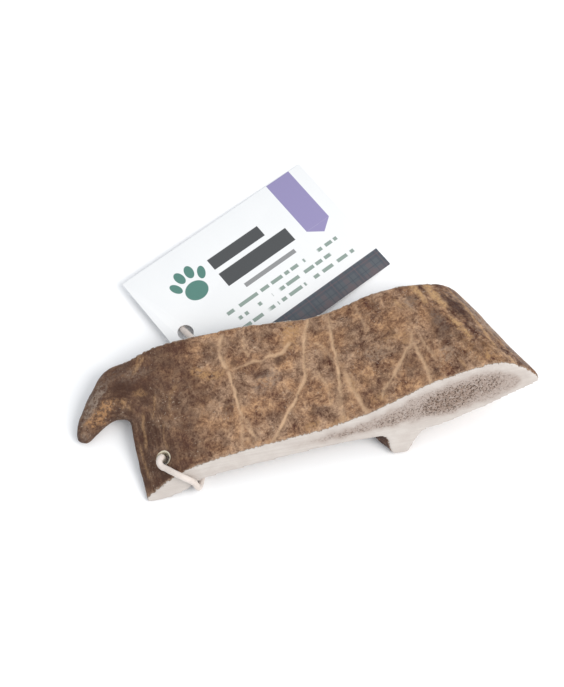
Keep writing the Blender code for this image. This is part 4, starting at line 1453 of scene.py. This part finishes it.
tab = bar(*TAB)
half_tab = (TAB[1] - TAB[0]) / 2
from_middle = recipe.math("ABSOLUTE", recipe.math("SUBTRACT", card_x, TAB[0] + half_tab))
point_share = recipe.math("DIVIDE", recipe.math("SUBTRACT", half_tab, from_middle), half_tab)
point_edge = recipe.math("MULTIPLY_ADD", point_share, TAB_POINT - TAB[2], TAB[2])
above_point = recipe.math("SUBTRACT", card_y, point_edge)
point = recipe.math("MULTIPLY", bar(TAB[0], TAB[1], TAB_POINT, TAB[2]),
                    recipe.ramp(above_point, -PRINT_EDGE / 2, PRINT_EDGE / 2))
card_colour = printed(card_colour, recipe.math("MAXIMUM", tab, point), PURPLE)
strip = bar(-PAST_EDGE, CARD_LENGTH + PAST_EDGE, -PAST_EDGE, CHECK_TOP)
check = SLATE
for start, width, ink, strength in (
        (0.0, 2.2, CHECK_RED, 0.75), (3.0, 0.5, CHECK_NAVY, 0.9), (5.4, 2.6, CHECK_NAVY, 0.7),
        (6.4, 0.6, CHECK_RED, 0.8), (9.2, 0.5, CHECK_NAVY, 0.9)):
    for measure in (card_x, card_y):
        turned_in = recipe.math("SUBTRACT", recipe.math("WRAP", measure, CHECK_REPEAT, 0.0), start)
        band = recipe.math("MULTIPLY", recipe.ramp(turned_in, 0.0, PRINT_EDGE),
                           recipe.ramp(turned_in, width, width - PRINT_EDGE))
        check = printed(check, band, ink, strength * CHECK_STRENGTH)
card_colour = recipe.mix(strip, card_colour, check)

# %% The card's face and its paper
face_up = recipe.ramp(card_z, CARD_THICKNESS - 0.05, CARD_THICKNESS - 0.02)
card_colour = recipe.mix(face_up, CARD_SHADE, card_colour)
recipe.feed(shader.inputs["Base Color"], card_colour)
paper = recipe.noise(on_card, 0.5, 3.0, 0.6)
recipe.feed(shader.inputs["Roughness"], recipe.ramp(paper, 0.3, 0.7, 0.36, 0.48))
recipe.feed(shader.inputs["Normal"], recipe.bump(paper, 0.03, 0.5))
card.data.materials.append(stock)
print("card finish nodes:", len(stock.node_tree.nodes))

# %% [markdown]
# ## The table and the light
# The photograph was lit softly all round on a white table, a little stronger from the front right.
# A white sky does most of that; one large lamp in front, at the right, gives the faint shadows that
# fall to the left and behind. The view transform is Standard, so that white stays white.

# %% The table
TABLE_SIZE = 6.0

builder = bmesh.new()
bmesh.ops.create_grid(builder, x_segments=8, y_segments=8, size=TABLE_SIZE / 2)
table = object_from(builder, "table")
table_finish, shader, recipe = new_finish("white_table", 0.7)
TABLE_WHITE = (0.930, 0.930, 0.938, 1.0)
TABLE_SHADE = (0.915, 0.918, 0.928, 1.0)
faint = recipe.effect(tone_drift, Place=recipe.place_mm(), Patch_Size=120.0)["Drift"]
table_colour = recipe.mix(faint, TABLE_WHITE, TABLE_SHADE)
recipe.feed(shader.inputs["Base Color"], table_colour)
table.data.materials.append(table_finish)

# %% The sky and the lamp
SKY_COLOUR = (0.94, 0.97, 1.0, 1.0)
SKY_STRENGTH = 0.93
LAMP_PLACE = Vector((0.44, -0.36, 0.71))
LAMP_SIZE = 0.5
LAMP_POWER = 5.2
LAMP_COLOUR = (1.0, 0.97, 0.93)

world = bpy.data.worlds.new("white_sky")
bpy.context.scene.world = world
world.use_nodes = True
background = world.node_tree.nodes["Background"]
background.inputs["Color"].default_value = SKY_COLOUR
background.inputs["Strength"].default_value = SKY_STRENGTH
lamp_data = bpy.data.lights.new("soft_lamp", "AREA")
lamp_data.size = LAMP_SIZE
lamp_data.energy = LAMP_POWER
lamp_data.color = LAMP_COLOUR
lamp = bpy.data.objects.new("soft_lamp", lamp_data)
bpy.context.collection.objects.link(lamp)
lamp.location = LAMP_PLACE
lamp.rotation_euler = LAMP_PLACE.to_track_quat("Z", "Y").to_euler()
bpy.context.scene.view_settings.view_transform = "Standard"
print("lamp, m from the slice:", round(LAMP_PLACE.length, 2))

# %% [markdown]
# ## Join the looks to the model
# Each piece rides on the one body and stands for its CAD node, which is hidden.

# %% Ride and replace
for piece, node, finish in (
        (antler, "antler", "antler_bone"), (card, "tag_card", "printed_card"),
        (cord, "tag_cord", "cream_cord"), (knot, "cord_knot", "cream_cord")):
    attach(piece, "root")
    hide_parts(node)
